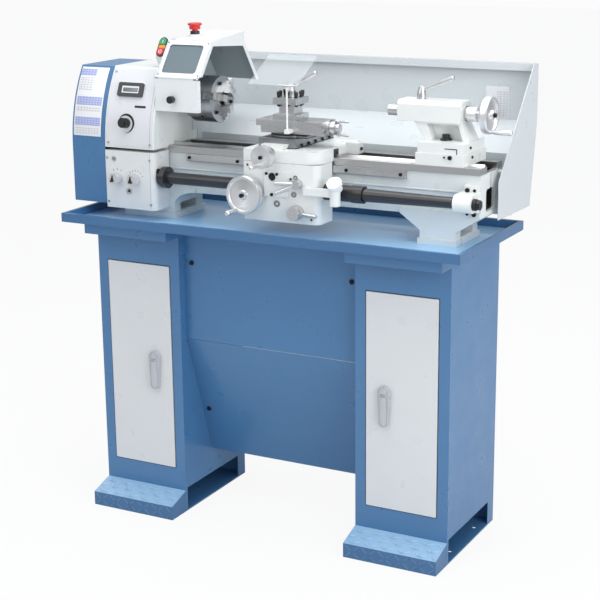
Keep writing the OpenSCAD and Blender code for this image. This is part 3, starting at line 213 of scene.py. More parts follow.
# %% Shader group: turned rings
turned_rings, given, gives = new_group("turned_rings", {"Vector": "Vector"}, {"Ring": "Vector"})
apart = add(turned_rings, "SeparateXYZ")
flat = add(turned_rings, "CombineXYZ")
length = add(turned_rings, "VectorMath")
length.operation = "LENGTH"
ring = add(turned_rings, "CombineXYZ")
wire(turned_rings, given["Vector"], apart.inputs[0])
for key in ("X", "Y"):
    wire(turned_rings, apart.outputs[key], flat.inputs[key])
wire(turned_rings, flat.outputs[0], length.inputs[0])
wire(turned_rings, length.outputs["Value"], ring.inputs["X"])
wire(turned_rings, apart.outputs["Z"], ring.inputs["Z"])
wire(turned_rings, ring.outputs[0], gives["Ring"])
print("group", turned_rings.name)

# %% Shader group: inside a box
CORNERS = dict.fromkeys(("Vector", "Low", "High"), "Vector")
box_zone, given, gives = new_group("box_zone", CORNERS, {"Mask": "Float"})

def calculate(operation, first, second):
    made = add(box_zone, "Math")
    made.operation = operation
    wire(box_zone, first, made.inputs[0])
    wire(box_zone, second, made.inputs[1])
    return made.outputs[0]

sides = {}
for key in CORNERS:
    apart = add(box_zone, "SeparateXYZ")
    wire(box_zone, given[key], apart.inputs[0])
    sides[key] = apart.outputs
mask = None
for i in range(3):
    for operation, bound in (("GREATER_THAN", "Low"), ("LESS_THAN", "High")):
        test = calculate(operation, sides["Vector"][i], sides[bound][i])
        mask = test if mask is None else calculate("MULTIPLY", mask, test)
wire(box_zone, mask, gives["Mask"])
print("group", box_zone.name)

# %% [markdown]
# ## Finishes
# Each finish is one Principled shader fed by the groups above. A Bevel node rounds the shading of the solids' sharp
# edges by about a millimetre, as castings and folded sheet have, without touching their meshes. Zones give a casting
# its black bezel, nut or knob: each is a box, a colour, how metallic and how rough it is.
# Some zones paint shade into gaps and hollows, or light onto tops, rather than a part's own colour.

# %% Material tools
def linear(*levels):
    part = [v / 255 for v in levels]
    return tuple(v / 12.92 if v <= 0.04045 else ((v + 0.055) / 1.055) ** 2.4 for v in part) + (1,)

def start_material(name):
    made = bpy.data.materials.new(name)
    made.use_nodes = True
    tree = made.node_tree
    return made, tree, tree.nodes["Principled BSDF"].inputs, add(tree, "TexCoord").outputs["Object"]

def place_group(tree, group, vector, **values):
    made = add(tree, "Group")
    made.node_tree = group
    wire(tree, vector, made.inputs["Vector"])
    for key, value in values.items():
        made.inputs[key].default_value = value
    return made.outputs

def soft_edges(tree, shader, height, strength, distance, radius):
    bevel = add(tree, "Bevel")
    bevel.samples = 4
    bevel.inputs["Radius"].default_value = radius
    bump = add(tree, "Bump")
    bump.inputs["Strength"].default_value = strength
    bump.inputs["Distance"].default_value = distance
    wire(tree, bevel.outputs["Normal"], bump.inputs["Normal"])
    wire(tree, height, bump.inputs["Height"])
    wire(tree, bump.outputs["Normal"], shader["Normal"])

def seated(tree, coords, place, turn):
    seat = add(tree, "Mapping")
    seat.vector_type = "TEXTURE"
    seat.inputs["Location"].default_value = place
    seat.inputs["Rotation"].default_value = turn
    wire(tree, coords, seat.inputs["Vector"])
    return seat.outputs[0]

def blend_value(tree, mask, socket, value):
    made = add(tree, "Mix")
    wire(tree, mask, made.inputs[0])
    if socket.links:
        wire(tree, socket.links[0].from_socket, made.inputs[2])
    else:
        made.inputs[2].default_value = socket.default_value
    made.inputs[3].default_value = value
    wire(tree, made.outputs[0], socket)

def add_zones(tree, shader, coords, zones):
    for low, high, colour, metal, rough, *seat in zones:
        inside = seated(tree, coords, *seat) if seat else coords
        mask = place_group(tree, box_zone, inside, Low=low, High=high)["Mask"]
        paint = shader["Base Color"]
        wire(tree, blend_colour(tree, mask, paint.links[0].from_socket, colour), paint)
        blend_value(tree, mask, shader["Metallic"], metal)
        blend_value(tree, mask, shader["Roughness"], rough)

print("material tools ready")

# %% Material makers
def enamel(name, paint, shade, coat=0.25, peel=0.06, zones=(), radius=0.0012):
    made, tree, shader, coords = start_material(name)
    skin = place_group(tree, enamel_skin, coords, Paint=paint, Shade=shade)
    wire(tree, skin["Color"], shader["Base Color"])
    wire(tree, skin["Roughness"], shader["Roughness"])
    shader["Coat Weight"].default_value = coat
    shader["Coat Roughness"].default_value = 0.12
    add_zones(tree, shader, coords, zones)
    soft_edges(tree, shader, skin["Height"], peel, 0.0004, radius)
    return made

def machine(tree, shader, coords, metal, shade, scale):
    lay = add(tree, "Mapping")
    lay.inputs["Scale"].default_value = scale
    wire(tree, coords, lay.inputs["Vector"])
    cut = place_group(tree, machined_lines, lay.outputs[0], Paint=metal, Shade=shade)
    wire(tree, cut["Color"], shader["Base Color"])
    wire(tree, cut["Roughness"], shader["Roughness"])
    return cut["Height"]

def steel(name, metal, shade, stretch, metallic=1.0, bump=0.08, zones=()):
    made, tree, shader, coords = start_material(name)
    height = machine(tree, shader, coords, metal, shade, stretch)
    shader["Metallic"].default_value = metallic
    add_zones(tree, shader, coords, zones)
    soft_edges(tree, shader, height, bump, 0.0002, 0.0006)
    return made

def turned(name, metal, shade, centre, turn, zones=(), axis=None):
    made, tree, shader, coords = start_material(name)
    rings = place_group(tree, turned_rings, seated(tree, coords, centre, turn))
    height = machine(tree, shader, rings["Ring"], metal, shade, (14, 1, 14))
    shader["Metallic"].default_value = 1.0
    if axis:
        lay = add(tree, "Tangent")
        lay.direction_type = "RADIAL"
        lay.axis = axis
        wire(tree, lay.outputs[0], shader["Tangent"])
        shader["Anisotropic"].default_value = 0.7
    add_zones(tree, shader, coords, zones)
    soft_edges(tree, shader, height, 0.1, 0.0002, 0.0008)
    return made

def plastic(name, colour, shade, rough, grain=0.1, coat=0.0, zones=()):
    made, tree, shader, coords = start_material(name)
    tone = spread(tree, noise(tree, 9, 3, coords), 0.35, 0.7, 0.0, 0.5)
    wire(tree, blend_colour(tree, tone, colour, shade), shader["Base Color"])
    gloss = spread(tree, noise(tree, 60, 3, coords), 0.3, 0.7, rough - 0.06, rough + 0.08)
    wire(tree, gloss, shader["Roughness"])
    shader["Coat Weight"].default_value = coat
    add_zones(tree, shader, coords, zones)
    soft_edges(tree, shader, noise(tree, 900, 2, coords), grain, 0.0002, 0.0008)
    return made

BLACK = linear(24, 25, 27)
print("material makers ready")

# %% Paint on the stand
QUARTER = math.pi / 2
ABOUT_X, ABOUT_Y = (0, QUARTER, 0), (QUARTER, 0, 0)
BLUE, BLUE_SHADE = linear(62, 108, 152), linear(50, 94, 138)
STEP_TOP_LIGHT = linear(150, 188, 220)
# Painted light: the tray floor is painted paler blue for the light it reflects at a glancing angle.
TRAY_FLOOR_LIGHT = ((-0.5895, -0.2475, 0.84), (0.5895, 0.1815, 0.8495), linear(160, 208, 246), 0.0, 0.36)
DOOR_GAP_SHADE = linear(30, 44, 66)

def dress(finish, *names):
    for name in names:
        for place in nodes[name].material_slots:
            place.material = finish
    print(finish.name, "on", ", ".join(names))

# Painted light: the tops of the steps are painted paler blue for the light that falls on them from above.
lit_step_tops = [((low, -0.2446, 0.02), (low + 0.269, -0.1, 0.07), STEP_TOP_LIGHT, 0.0, 0.4) for low in (-0.5415, 0.2725)]
# Painted shade: the cabinet faces in each door opening are painted dark for the shadow in the gap round the door.
door_gap_shade = [((low, -0.2, 0.1272), (low + 0.2096, -0.1602, 0.7288), DOOR_GAP_SHADE, 0.0, 0.6) for low in (-0.5118, 0.3022)]
dress(enamel("blue_enamel", linear(69, 118, 163), linear(54, 100, 146)), "front_panel", "gear_cover")
dress(enamel("cabinet_enamel", linear(72, 120, 165), linear(57, 102, 148), zones=door_gap_shade),
      "left_cabinet", "right_cabinet")
dress(enamel("step_enamel", BLUE, BLUE_SHADE, zones=lit_step_tops), "foot_steps")
dress(enamel("tray_enamel", BLUE, BLUE_SHADE, coat=0.3, zones=[TRAY_FLOOR_LIGHT]), "chip_tray")
dress(enamel("door_enamel", linear(214, 216, 218), linear(200, 203, 206), coat=0.15), "left_door", "right_door")

# %% [markdown]
# The castings are filled, rubbed down and sprayed a warm white; the sheet covers are the same white with more
# gloss. The bed is white too, except for its ways, which are ground bare steel, so the bed's enamel has a steel
# zone from the underside of the ways upwards. Thin grey zones draw the seams between castings.

# %% White castings
ARC_Y, ARC_Z, ARC_RADIUS = 0.234, 1.050, 0.402

def on_arc(x, z):
    rise = z - ARC_Z
    lean = math.asin(rise / ARC_RADIUS)
    return (x, ARC_Y - math.sqrt(ARC_RADIUS ** 2 - rise ** 2), z), (QUARTER - lean, 0, 0)

DISPLAY_SEAT = on_arc(-0.430, 1.207)
WHITE, WHITE_SHADE = linear(230, 233, 231), linear(215, 219, 218)
BARE = linear(196, 196, 196)
BED_HOLLOW_SHADE = linear(44, 46, 49)
SEAM = (linear(120, 124, 128), 0.0, 0.5)
CAST = {"peel": 0.1, "radius": 0.002}
# The second bed zone is painted shade: the hollow between the front and rear ways is painted dark for the shadow in
# it.
bed_zones = [((-0.345, -0.1, 1.0361), (0.6, 0.06, 1.07), BARE, 1.0, 0.28),
             ((-0.342, -0.0697, 0.93), (0.5745, 0.0337, 1.0359), BED_HOLLOW_SHADE, 0.0, 0.6)]
dress(enamel("white_cast", WHITE, WHITE_SHADE, **CAST), "headstock", "saddle")
dress(enamel("apron_cast", WHITE, WHITE_SHADE, zones=[((-0.06, -0.2, 1.0452), (0.25, -0.1, 1.0461)) + SEAM], **CAST),
      "apron")
dress(enamel("gearbox_cast", linear(220, 222, 222), linear(206, 209, 210),
             zones=[((-0.3582, -0.17, 0.884), (-0.3574, -0.1675, 1.038)) + SEAM], **CAST), "gearbox")
dress(enamel("bed_cast", linear(224, 229, 229), linear(206, 213, 214), peel=0.1, zones=bed_zones), "bed")
dress(enamel("tail_cast", WHITE, WHITE_SHADE,
             zones=[((0.45, -0.056, 1.1121), (0.484, -0.0241, 1.13), BLACK, 0.0, 0.5)], **CAST), "tailstock")

# %% White sheet covers
SHEET, SHEET_SHADE = linear(230, 233, 233), linear(217, 222, 223)
# Painted shade: the hood's inside wall and all its downward faces are painted a darker grey for the shadow inside
# the hood.
HOOD_INSIDE_SHADE = linear(150, 162, 166)
GLOSSY = {"coat": 0.35, "peel": 0.04}
BEZEL = ((-0.0415, -0.0205, 0.0006), (0.0415, 0.0205, 0.01), linear(52, 54, 58), 0.0, 0.42) + DISPLAY_SEAT
flap_knob = [((-0.295, -0.18, 1.179), (-0.271, -0.1527, 1.205), BLACK, 0.0, 0.35)]
hood_zones = [((-0.32, -0.03, 1.3542), (-0.28, 0.02, 1.372), BLACK, 0.0, 0.4),
              ((-0.3407, -0.2, 1.2), (-0.3395, 0.2, 1.37), HOOD_INSIDE_SHADE, 0.0, 0.5)]

# Painted shade: faces that look down are blended towards the given darker colour.
def shade_underside(finish, colour):
    tree = finish.node_tree
    apart = add(tree, "SeparateXYZ")
    wire(tree, add(tree, "TexCoord").outputs["Normal"], apart.inputs[0])
    paint = tree.nodes["Principled BSDF"].inputs["Base Color"]
    below = spread(tree, apart.outputs["Z"], -0.02, -0.1, 0.0, 1.0)
    wire(tree, blend_colour(tree, below, paint.links[0].from_socket, colour), paint)

dress(enamel("white_sheet", linear(232, 235, 235), linear(218, 223, 224), **GLOSSY), "switch_box")
dress(enamel("guard_sheet", linear(208, 214, 217), linear(196, 203, 206), coat=0.3, peel=0.04), "splash_guard")
dress(enamel("panel_sheet", linear(218, 219, 223), linear(208, 210, 215), peel=0.02,
             zones=[((-0.3566, -0.2, 1.0), (-0.3558, 0, 1.3)) + SEAM, BEZEL]), "control_panel")
dress(enamel("flap_sheet", SHEET, SHEET_SHADE, zones=flap_knob, **GLOSSY), "guard_flap")
hood_sheet = enamel("hood_sheet", SHEET, SHEET_SHADE, zones=hood_zones, **GLOSSY)
shade_underside(hood_sheet, HOOD_INSIDE_SHADE)
dress(hood_sheet, "chuck_guard")

# %% [markdown]
# Bare steel differs by how it was cut. Ground slides have fine lines along their travel, the rack and hinges are
# plain drawn bar, and round parts show rings about their own axis, so each of those gets its own centre.

# %% Slides, rack and toolpost
LIGHT_STEEL = (linear(212, 212, 213), linear(164, 165, 167))
GREY_IRON = (linear(154, 157, 161), linear(122, 125, 129))
ALONG_X, ALONG_Y = (0.6, 8, 8), (8, 0.6, 8)
shield_post = [((0.051, -0.143, 1.1165), (0.065, -0.1135, 1.1285), WHITE, 0.0, 0.35),
               ((0.054, -0.140, 1.118), (0.062, -0.132, 1.2385), WHITE, 0.0, 0.35)]
# Painted shade: black bands on the swivel base stand for the shadow in the slits between the slides.
swivel_gap_shade = [((-0.04, -0.13, 1.1030), (0.11, -0.02, 1.1052), BLACK, 0.0, 0.6),
               ((-0.04, -0.13, 1.1088), (0.11, -0.02, 1.1250), BLACK, 0.2, 0.5)]
post_zones = [((-0.01, -0.13, 1.2063), (0.09, -0.02, 1.23), BLACK, 0.2, 0.45)]
for x_low, y_low, x_high, y_high in ((0.0, -0.12, 0.0145, -0.036), (0.0615, -0.12, 0.076, -0.036),
                                     (0.0, -0.12, 0.076, -0.1015), (0.0, -0.0545, 0.076, -0.036)):
    post_zones.append(((x_low, y_low, 1.1832), (x_high, y_high, 1.189), BLACK, 0.2, 0.45))
dress(steel("slide_steel", *LIGHT_STEEL, ALONG_X),
      "feed_rack", "cover_hinge", "door_hinge_pins", "gear_quadrant", "jaw_1", "jaw_2", "jaw_3")
dress(steel("top_slide_steel", *LIGHT_STEEL, ALONG_X, zones=shield_post), "top_slide")
# Painted shade: the cross slide's thin black band stands for the shadow in the slit between the slides.
dress(steel("cross_slide_iron", *GREY_IRON, ALONG_Y, metallic=0.9,
            zones=[((-0.03, -0.15, 1.0775), (0.09, 0.08, 1.0805), BLACK, 0.0, 0.6)]), "cross_slide")
dress(steel("swivel_iron", *GREY_IRON, ALONG_Y, metallic=0.9, zones=swivel_gap_shade), "swivel_base")
dress(steel("post_steel", *LIGHT_STEEL, (1, 1, 7), zones=post_zones), "toolpost")
dress(enamel("motor_iron", linear(120, 124, 128), linear(98, 102, 106)), "motor")

# %% Turned parts
SPINDLE_Y, SPINDLE_Z = -0.018, 1.180
CHUCK_IRON = (linear(176, 178, 181), GREY_IRON[1])
ALLOY = (linear(238, 239, 240), linear(220, 222, 224))
for name, metal, centre in (("chuck_body", CHUCK_IRON, (-0.25, SPINDLE_Y, SPINDLE_Z)),
                            ("spindle", LIGHT_STEEL, (-0.4, SPINDLE_Y, SPINDLE_Z)),
                            ("spindle_bearings", LIGHT_STEEL, (-0.4, SPINDLE_Y, SPINDLE_Z)),
                            ("quill", LIGHT_STEEL, (0.35, SPINDLE_Y, SPINDLE_Z)),
                            ("motor_pulley", LIGHT_STEEL, (-0.5, 0.112, 0.985)),
                            ("idler_gear", LIGHT_STEEL, (-0.52, -0.0383, 1.0465)),
                            ("top_crank", LIGHT_STEEL, (0.17, -0.078, 1.131))):
    dress(turned("turned_" + name, *metal, centre, ABOUT_X), name)
for name, centre, axis in (("apron_wheel", (-0.038, -0.202, 0.958), "Y"), ("cross_wheel", (0.03, -0.22, 1.066), "Y"),
                           ("tail_wheel", (0.575, SPINDLE_Y, SPINDLE_Z), "X"),
                           ("left_selector", (-0.466, -0.168, 0.965), "Y"),
                           ("right_selector", (-0.406, -0.168, 0.965), "Y")):
    dress(turned("turned_" + name, *ALLOY, centre, ABOUT_X if axis == "X" else ABOUT_Y, axis=axis), name)
screw_end = [((0.5842, -0.17, 0.94), (0.62, -0.1, 1.0), linear(40, 42, 46), 0.4, 0.4)]
dress(turned("turned_leadscrew", *LIGHT_STEEL, (0, -0.138, 0.972), ABOUT_X, zones=screw_end), "leadscrew")
bright = steel("bright_plate", linear(214, 215, 217), linear(190, 192, 194), (1, 1, 1), bump=0.02)
dress(bright, "toolpost_lever", "quill_lever", "half_nut_lever", "feed_knob")

# %% Plastics and rubber
black_plastic = plastic("black_plastic", BLACK, linear(38, 39, 42), 0.4, coat=0.2)
dress(black_plastic, "speed_knob", "cover_sleeve")
latch_plastic = plastic("latch_plastic", linear(190, 191, 196), linear(172, 174, 179), 0.32, coat=0.3)
dress(latch_plastic, "left_latch", "right_latch")
bracket = [((0.5355, -0.3, 0.9), (0.7, 0, 1.05), WHITE, 0.0, 0.34)]
dress(plastic("tube_plastic", linear(30, 32, 36), linear(44, 46, 51), 0.34, coat=0.3, zones=bracket), "screw_covers")
red_plastic = plastic("red_plastic", linear(206, 38, 36), linear(176, 28, 28), 0.3, coat=0.4)
dress(red_plastic, "emergency_stop", "stop_button")
green_plastic = plastic("green_plastic", linear(62, 148, 104), linear(44, 122, 84), 0.32, coat=0.3)
dress(green_plastic, "start_button")
dress(plastic("dial_plastic", linear(240, 241, 240), linear(226, 228, 228), 0.36, coat=0.3), "thread_dial")
dress(plastic("belt_rubber", linear(20, 20, 21), linear(34, 34, 35), 0.7, grain=0.3), "drive_belt")

# %% Clear sheet
def clear_sheet(name, tint, rough, face, rim):
    made, tree, shader, coords = start_material(name)
    scuff = spread(tree, noise(tree, 14, 5, coords, 0.7), 0.45, 0.8, rough, rough + 0.12)
    wire(tree, scuff, shader["Roughness"])
    haze = spread(tree, noise(tree, 3, 2, coords), 0.3, 0.7, 0.0, 1.0)
    dimmer = tuple(v * 0.96 for v in tint[:3]) + (1,)
    wire(tree, blend_colour(tree, haze, tint, dimmer), shader["Base Color"])
    glance = add(tree, "Fresnel")
    glance.inputs["IOR"].default_value = 1.45
    wire(tree, spread(tree, glance.outputs[0], 0.03, 0.5, face, rim), shader["Alpha"])
    return made

dress(clear_sheet("window_sheet", linear(132, 148, 156), 0.14, 0.5, 0.8), "guard_window")
dress(clear_sheet("shield_sheet", linear(226, 232, 234), 0.1, 0.06, 0.26), "chip_shield")
bare = [n for n, o in nodes.items() if not all(s.material and s.material.node_tree for s in o.material_slots)]
print("nodes without a finish:", bare)

# %% [markdown]
# ## Small pieces
# Screws, scales and sights are too small for the solids but they are what makes a machine look assembled. Every
# piece starts as a primitive at its true size and is then worked in edit mode: faces are inset and raised or sunk,
# edges are bevelled, sockets are cut. A piece that repeats is made once, facing up at the origin, and copied to its
# places; the copies for one body are joined into one object.

# %% Tools that shape a piece
def only(obj):
    bpy.ops.object.select_all(action="DESELECT")
    obj.select_set(True)
    bpy.context.view_layer.objects.active = obj

def rename(obj, name):
    obj.name = name
    obj.data.name = name
    return obj

def begin(name, primitive, **options):
    bpy.ops.object.select_all(action="DESELECT")
    primitive(**options)
    bpy.context.object.name = name
    bpy.ops.object.transform_apply(location=True, rotation=True, scale=True)
    return bpy.context.object

def pick(obj, kind, wanted):
    only(obj)
    bpy.ops.object.mode_set(mode="EDIT")
    bpy.ops.mesh.select_mode(type=kind)
    bpy.ops.mesh.select_all(action="DESELECT")
    bpy.ops.object.mode_set(mode="OBJECT")
    for element in obj.data.polygons if kind == "FACE" else obj.data.vertices:
        element.select = wanted(element)
    bpy.ops.object.mode_set(mode="EDIT")

def work_top(obj, steps):
    top = max(obj.data.polygons, key=lambda f: (round(f.center.z, 6), f.area)).index
    pick(obj, "FACE", lambda face: face.index == top)
    for inward, lift in steps:
        bpy.ops.mesh.inset(thickness=inward)
        bpy.ops.mesh.extrude_region_move(TRANSFORM_OT_translate={"value": (0, 0, lift)})
    bpy.ops.object.mode_set(mode="OBJECT")

def soften(obj, width):
    only(obj)
    edge = obj.modifiers.new("edge", "BEVEL")
    edge.width = width
    edge.segments = 2
    edge.limit_method = "ANGLE"
    edge.angle_limit = math.radians(40)
    bpy.ops.object.modifier_apply(modifier=edge.name)
    bpy.ops.object.shade_smooth_by_angle(angle=math.radians(35))
    return obj

def stub(name, radius, height, steps=(), sides=32, edge=0.0003):
    made = begin(name, bpy.ops.mesh.primitive_cylinder_add, vertices=sides, radius=radius, depth=height,
                 location=(0, 0, height / 2))
    work_top(made, steps)
    return soften(made, edge)

def block(name, size, steps=(), edge=0.0003):
    made = begin(name, bpy.ops.mesh.primitive_cube_add, size=1, location=(0, 0, size[2] / 2), scale=size)
    work_top(made, steps)
    return soften(made, edge)

def discard(*protos):
    for proto in protos:
        only(proto)
        bpy.ops.object.delete()

def combine(obj, tool, operation):
    only(obj)
    change = obj.modifiers.new("combine", "BOOLEAN")
    change.object = tool
    change.operation = operation
    change.solver = "EXACT"
    bpy.ops.object.modifier_apply(modifier=change.name)
    discard(tool)
    return obj

def carve(obj, tool):
    return combine(obj, tool, "DIFFERENCE")

def weld(obj, tool):
    return combine(obj, tool, "UNION")

# %% Tools that place a piece
TURNS = {"front": (QUARTER, 0, 0), "right": (0, QUARTER, 0)}

def join(pieces, name):
    bpy.ops.object.select_all(action="DESELECT")
    for piece in pieces:
        piece.select_set(True)
    bpy.context.view_layer.objects.active = pieces[0]
    bpy.ops.object.transform_apply(location=True, rotation=True, scale=True)
    if len(pieces) > 1:
        bpy.ops.object.join()
    return rename(bpy.context.object, name)

def spread_out(proto, name, places):
    copies = []
    for place, turn, size in places:
        only(proto)
        bpy.ops.object.duplicate()
        copy = bpy.context.object
        copy.location = place
        copy.rotation_euler = TURNS[turn] if isinstance(turn, str) else turn
        copy.scale = (size, size, size)
        copies.append(copy)
    return join(copies, name)

def settle(obj, body, finish):
    obj.data.materials.clear()
    obj.data.materials.append(finish)
    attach(obj, body)
    print(obj.name, "on", body, len(obj.data.polygons), "faces")
    return obj

def fit(proto, name, body, finish, slot, *places):
    return settle(spread_out(proto, name, places), body, finish)

# %% [markdown]
# ### Screws
# One socket screw serves the whole machine. Its head is a bevelled cylinder and the hexagon is cut out with a
# six-sided tool. Black screws hold the castings; small bright ones hold the covers.

# %% Socket screws
socket_screw = stub("socket_screw", 0.0050, 0.0050, edge=0.0005)
hexagon = stub("hexagon", 0.0030, 0.0060, sides=6, edge=0.0001)
hexagon.location.z = 0.0022
carve(socket_screw, hexagon)
cover_screw = stub("cover_screw", 0.0034, 0.0012, [(0.0007, 0.0006)])
slot_tool = block("slot_tool", (0.0010, 0.0080, 0.0030))
slot_tool.location.z = 0.0011
carve(cover_screw, slot_tool)
flange_bolt = stub("flange_bolt", 0.0105, 0.0016, [(0.0030, 0.0055)], edge=0.0004)
flange_socket = stub("flange_socket", 0.0042, 0.0080, sides=6, edge=0.0001)
flange_socket.location.z = 0.0030
carve(flange_bolt, flange_socket)
print("screws", [len(screw.data.polygons) for screw in (socket_screw, cover_screw, flange_bolt)])

# %% Places of the screws
HOOD_SLOPE = math.atan2(0.091, 0.0685)
PANEL_LEAN = math.atan2(0.120, 0.369)
PANEL_Y, PANEL_FOLD_Z, LOW_BOLT_Z = -0.140, 0.515, 0.286
RACK_Y, RACK_Z = -0.0962, 1.025
BRACKET_Y = -0.099
GEARBOX_Y = -0.168

def on_hood(x, along):
    place = (x, -0.1435 + along * math.cos(HOOD_SLOPE), 1.252 + along * math.sin(HOOD_SLOPE))
    return place, (HOOD_SLOPE, 0, 0), 1.0

def screw_in(name, body, *places):
    fit(socket_screw, name, body, dark_steel, "steel", *places)

dark_steel = steel("dark_steel", linear(46, 47, 50), linear(28, 29, 31), (3, 3, 3), metallic=0.7)
screw_steel = steel("screw_steel", linear(176, 178, 180), linear(140, 142, 145), (4, 4, 4))
low_bolt_y = PANEL_Y + (PANEL_FOLD_Z - LOW_BOLT_Z) * math.tan(PANEL_LEAN)
panel_bolts = [((x, PANEL_Y, 0.737), "front", 0.7) for x in (-0.248, 0.248)]
panel_bolts += [((x, low_bolt_y, LOW_BOLT_Z), (QUARTER + PANEL_LEAN, 0, 0), 0.7) for x in (-0.250, 0.250)]
fit(flange_bolt, "panel_bolts", "stand", dark_steel, "steel", *panel_bolts)
bed_screws = [((x, RACK_Y, RACK_Z), "front", 0.93) for x in (-0.272, -0.118, 0.047, 0.2115, 0.367)]
bed_screws += [((x, BRACKET_Y, z), "front", size) for x, z, size in (
    (0.553, 1.000, 1.15), (0.572, 1.000, 0.75), (0.553, 0.9385, 0.75), (0.572, 0.9385, 1.15))]
screw_in("bed_screws", "stand", *bed_screws)
cover_places = [on_arc(x, z) + (1.0,) for x in (-0.493, -0.355) for z in (1.064, 1.254)]
cover_places += [((x, GEARBOX_Y, z), "front", 1.0) for x in (-0.4985, -0.3575) for z in (0.897, 1.0205)]
cover_places += [on_hood(x, along) for x in (-0.3375, -0.2110) for along in (0.006, 0.107)]
fit(cover_screw, "cover_screws", "stand", screw_steel, "steel", *cover_places)

# %% [markdown]
# ### Headstock and gearbox marks
# The display gets its white surround and grey glass, the speed knob its tapering scale and a pointer line, and the
# two gear selectors their black pointers with rows of plain strokes. The oil sight is a bright ring with a dark
# lens. All lettering on the real machine is left off: its tables are plates with blank ruled grids.

# %% Display
def outward(turn):
    lean = QUARTER - turn[0]
    return Vector((0, -math.cos(lean), math.sin(lean)))

def raised(place, turn, height):
    return Vector(place) + outward(turn) * height, turn, 1.0

glass_paint = plastic("display_glass", linear(112, 122, 124), linear(88, 98, 100), 0.16, grain=0.0, coat=0.6)
surround_paint = plastic("display_surround", linear(236, 238, 239), linear(222, 225, 226), 0.34)
surround = block("surround_bar", (0.0640, 0.0262, 0.0014), [(0.0070, -0.0010)], edge=0.0002)
fit(surround, "display_surround", "stand", surround_paint, "white_paint", raised(*DISPLAY_SEAT, 0.0047))
glass = block("glass_bar", (0.0490, 0.0114, 0.0008), [(0.0010, 0.0002)], edge=0.0001)
fit(glass, "display_glass", "stand", glass_paint, "clear_sheet", raised(*DISPLAY_SEAT, 0.0050))
discard(surround, glass)

# %% Speed scale and bare label strip
mark_paint = plastic("mark_paint", linear(26, 27, 30), linear(44, 45, 48), 0.45)

def mark(proto, name, body, *places):
    fit(proto, name, body, mark_paint, "black_plastic", *places)

def sliver(name, size, inward=0.0003):
    return block(name, size, [(inward, 0.0001)], edge=0.0001)

place, turn = on_arc(-0.434, 1.119)
crescent = stub("crescent", 0.0265, 0.0006, sides=64, edge=0.0001)
bite = stub("bite", 0.0238, 0.0040, sides=64, edge=0.0001)
bite.location = (-0.0032, -0.0024, -0.0010)
carve(crescent, bite)
mark(crescent, "speed_scale", "stand", raised(place, turn, -0.0001))
line = sliver("line", (0.0014, 0.0080, 0.0006))
out = outward(turn)
tip = Vector(place) + out * 0.0239 + Vector((-0.0040, -0.0035 * out.z, -0.0035 * out.y))
fit(line, "speed_pointer", "speed_knob", surround_paint, "white_paint", (tip, turn, 1.0))
strip = sliver("strip", (0.0360, 0.0060, 0.0006), 0.0006)
mark(strip, "panel_strip", "stand", on_arc(-0.393, 1.165) + (1.0,))
discard(crescent, line, strip)

# %% Selector pointers and strokes
LEFT_X, RIGHT_X, SELECTOR_Z, STROKE_RADIUS = -0.466, -0.406, 0.965, 0.0245
pointer = stub("pointer", 0.0095, 0.0012, [(0.0012, 0.0005)], sides=3, edge=0.0002)
only(pointer)
bpy.ops.object.mode_set(mode="EDIT")
bpy.ops.mesh.select_all(action="SELECT")
bpy.ops.transform.resize(value=(0.62, 1.0, 1.0), center_override=(0, 0, 0))
bpy.ops.object.mode_set(mode="OBJECT")
for side, x, twist in (("left", LEFT_X, 0.5), ("right", RIGHT_X, 0.0)):
    knob_face = (x - 0.004, -0.1902, 0.963)
    mark(pointer, side + "_pointer", side + "_selector", (knob_face, (QUARTER, 0, twist), 1.4))
stroke = sliver("stroke", (0.0011, 0.0050, 0.0005), 0.0002)
strokes = []
for x, angles in ((LEFT_X, (-30, 0, 30)), (RIGHT_X, (-66, -44, -22, 0, 22, 44, 66))):
    for a in map(math.radians, angles):
        place = (x + STROKE_RADIUS * math.sin(a), GEARBOX_Y, SELECTOR_Z + STROKE_RADIUS * math.cos(a))
        strokes.append((place, (QUARTER, a, 0), 1.0))
mark(stroke, "selector_strokes", "stand", *strokes)
discard(pointer, stroke)

# %% Ruled print for tables
def table_print(name, cell, line):
    made, tree, shader, coords = start_material(name)
    apart = add(tree, "SeparateXYZ")
    flat = add(tree, "CombineXYZ")
    wire(tree, coords, apart.inputs[0])
    wire(tree, apart.outputs["X"], flat.inputs["X"])
    wire(tree, apart.outputs["Z"], flat.inputs["Y"])
    grid = add(tree, "TexBrick")
    grid.offset = 0.0
    for key, value in (("Color1", cell), ("Color2", cell), ("Mortar", line), ("Scale", 1.0),
                       ("Mortar Size", 0.0006), ("Brick Width", 0.0100), ("Row Height", 0.0062)):
        grid.inputs[key].default_value = value
    wire(tree, flat.outputs[0], grid.inputs["Vector"])
    wire(tree, grid.outputs["Color"], shader["Base Color"])
    shader["Roughness"].default_value = 0.4
    return made

plate_paint = plastic("plate_paint", linear(228, 229, 231), linear(218, 220, 222), 0.4, grain=0.0)
blue_print = table_print("blue_print", linear(150, 160, 206), linear(196, 202, 226))
grey_print = table_print("grey_print", linear(222, 223, 226), linear(176, 178, 184))
print("prints", blue_print.name, grey_print.name)

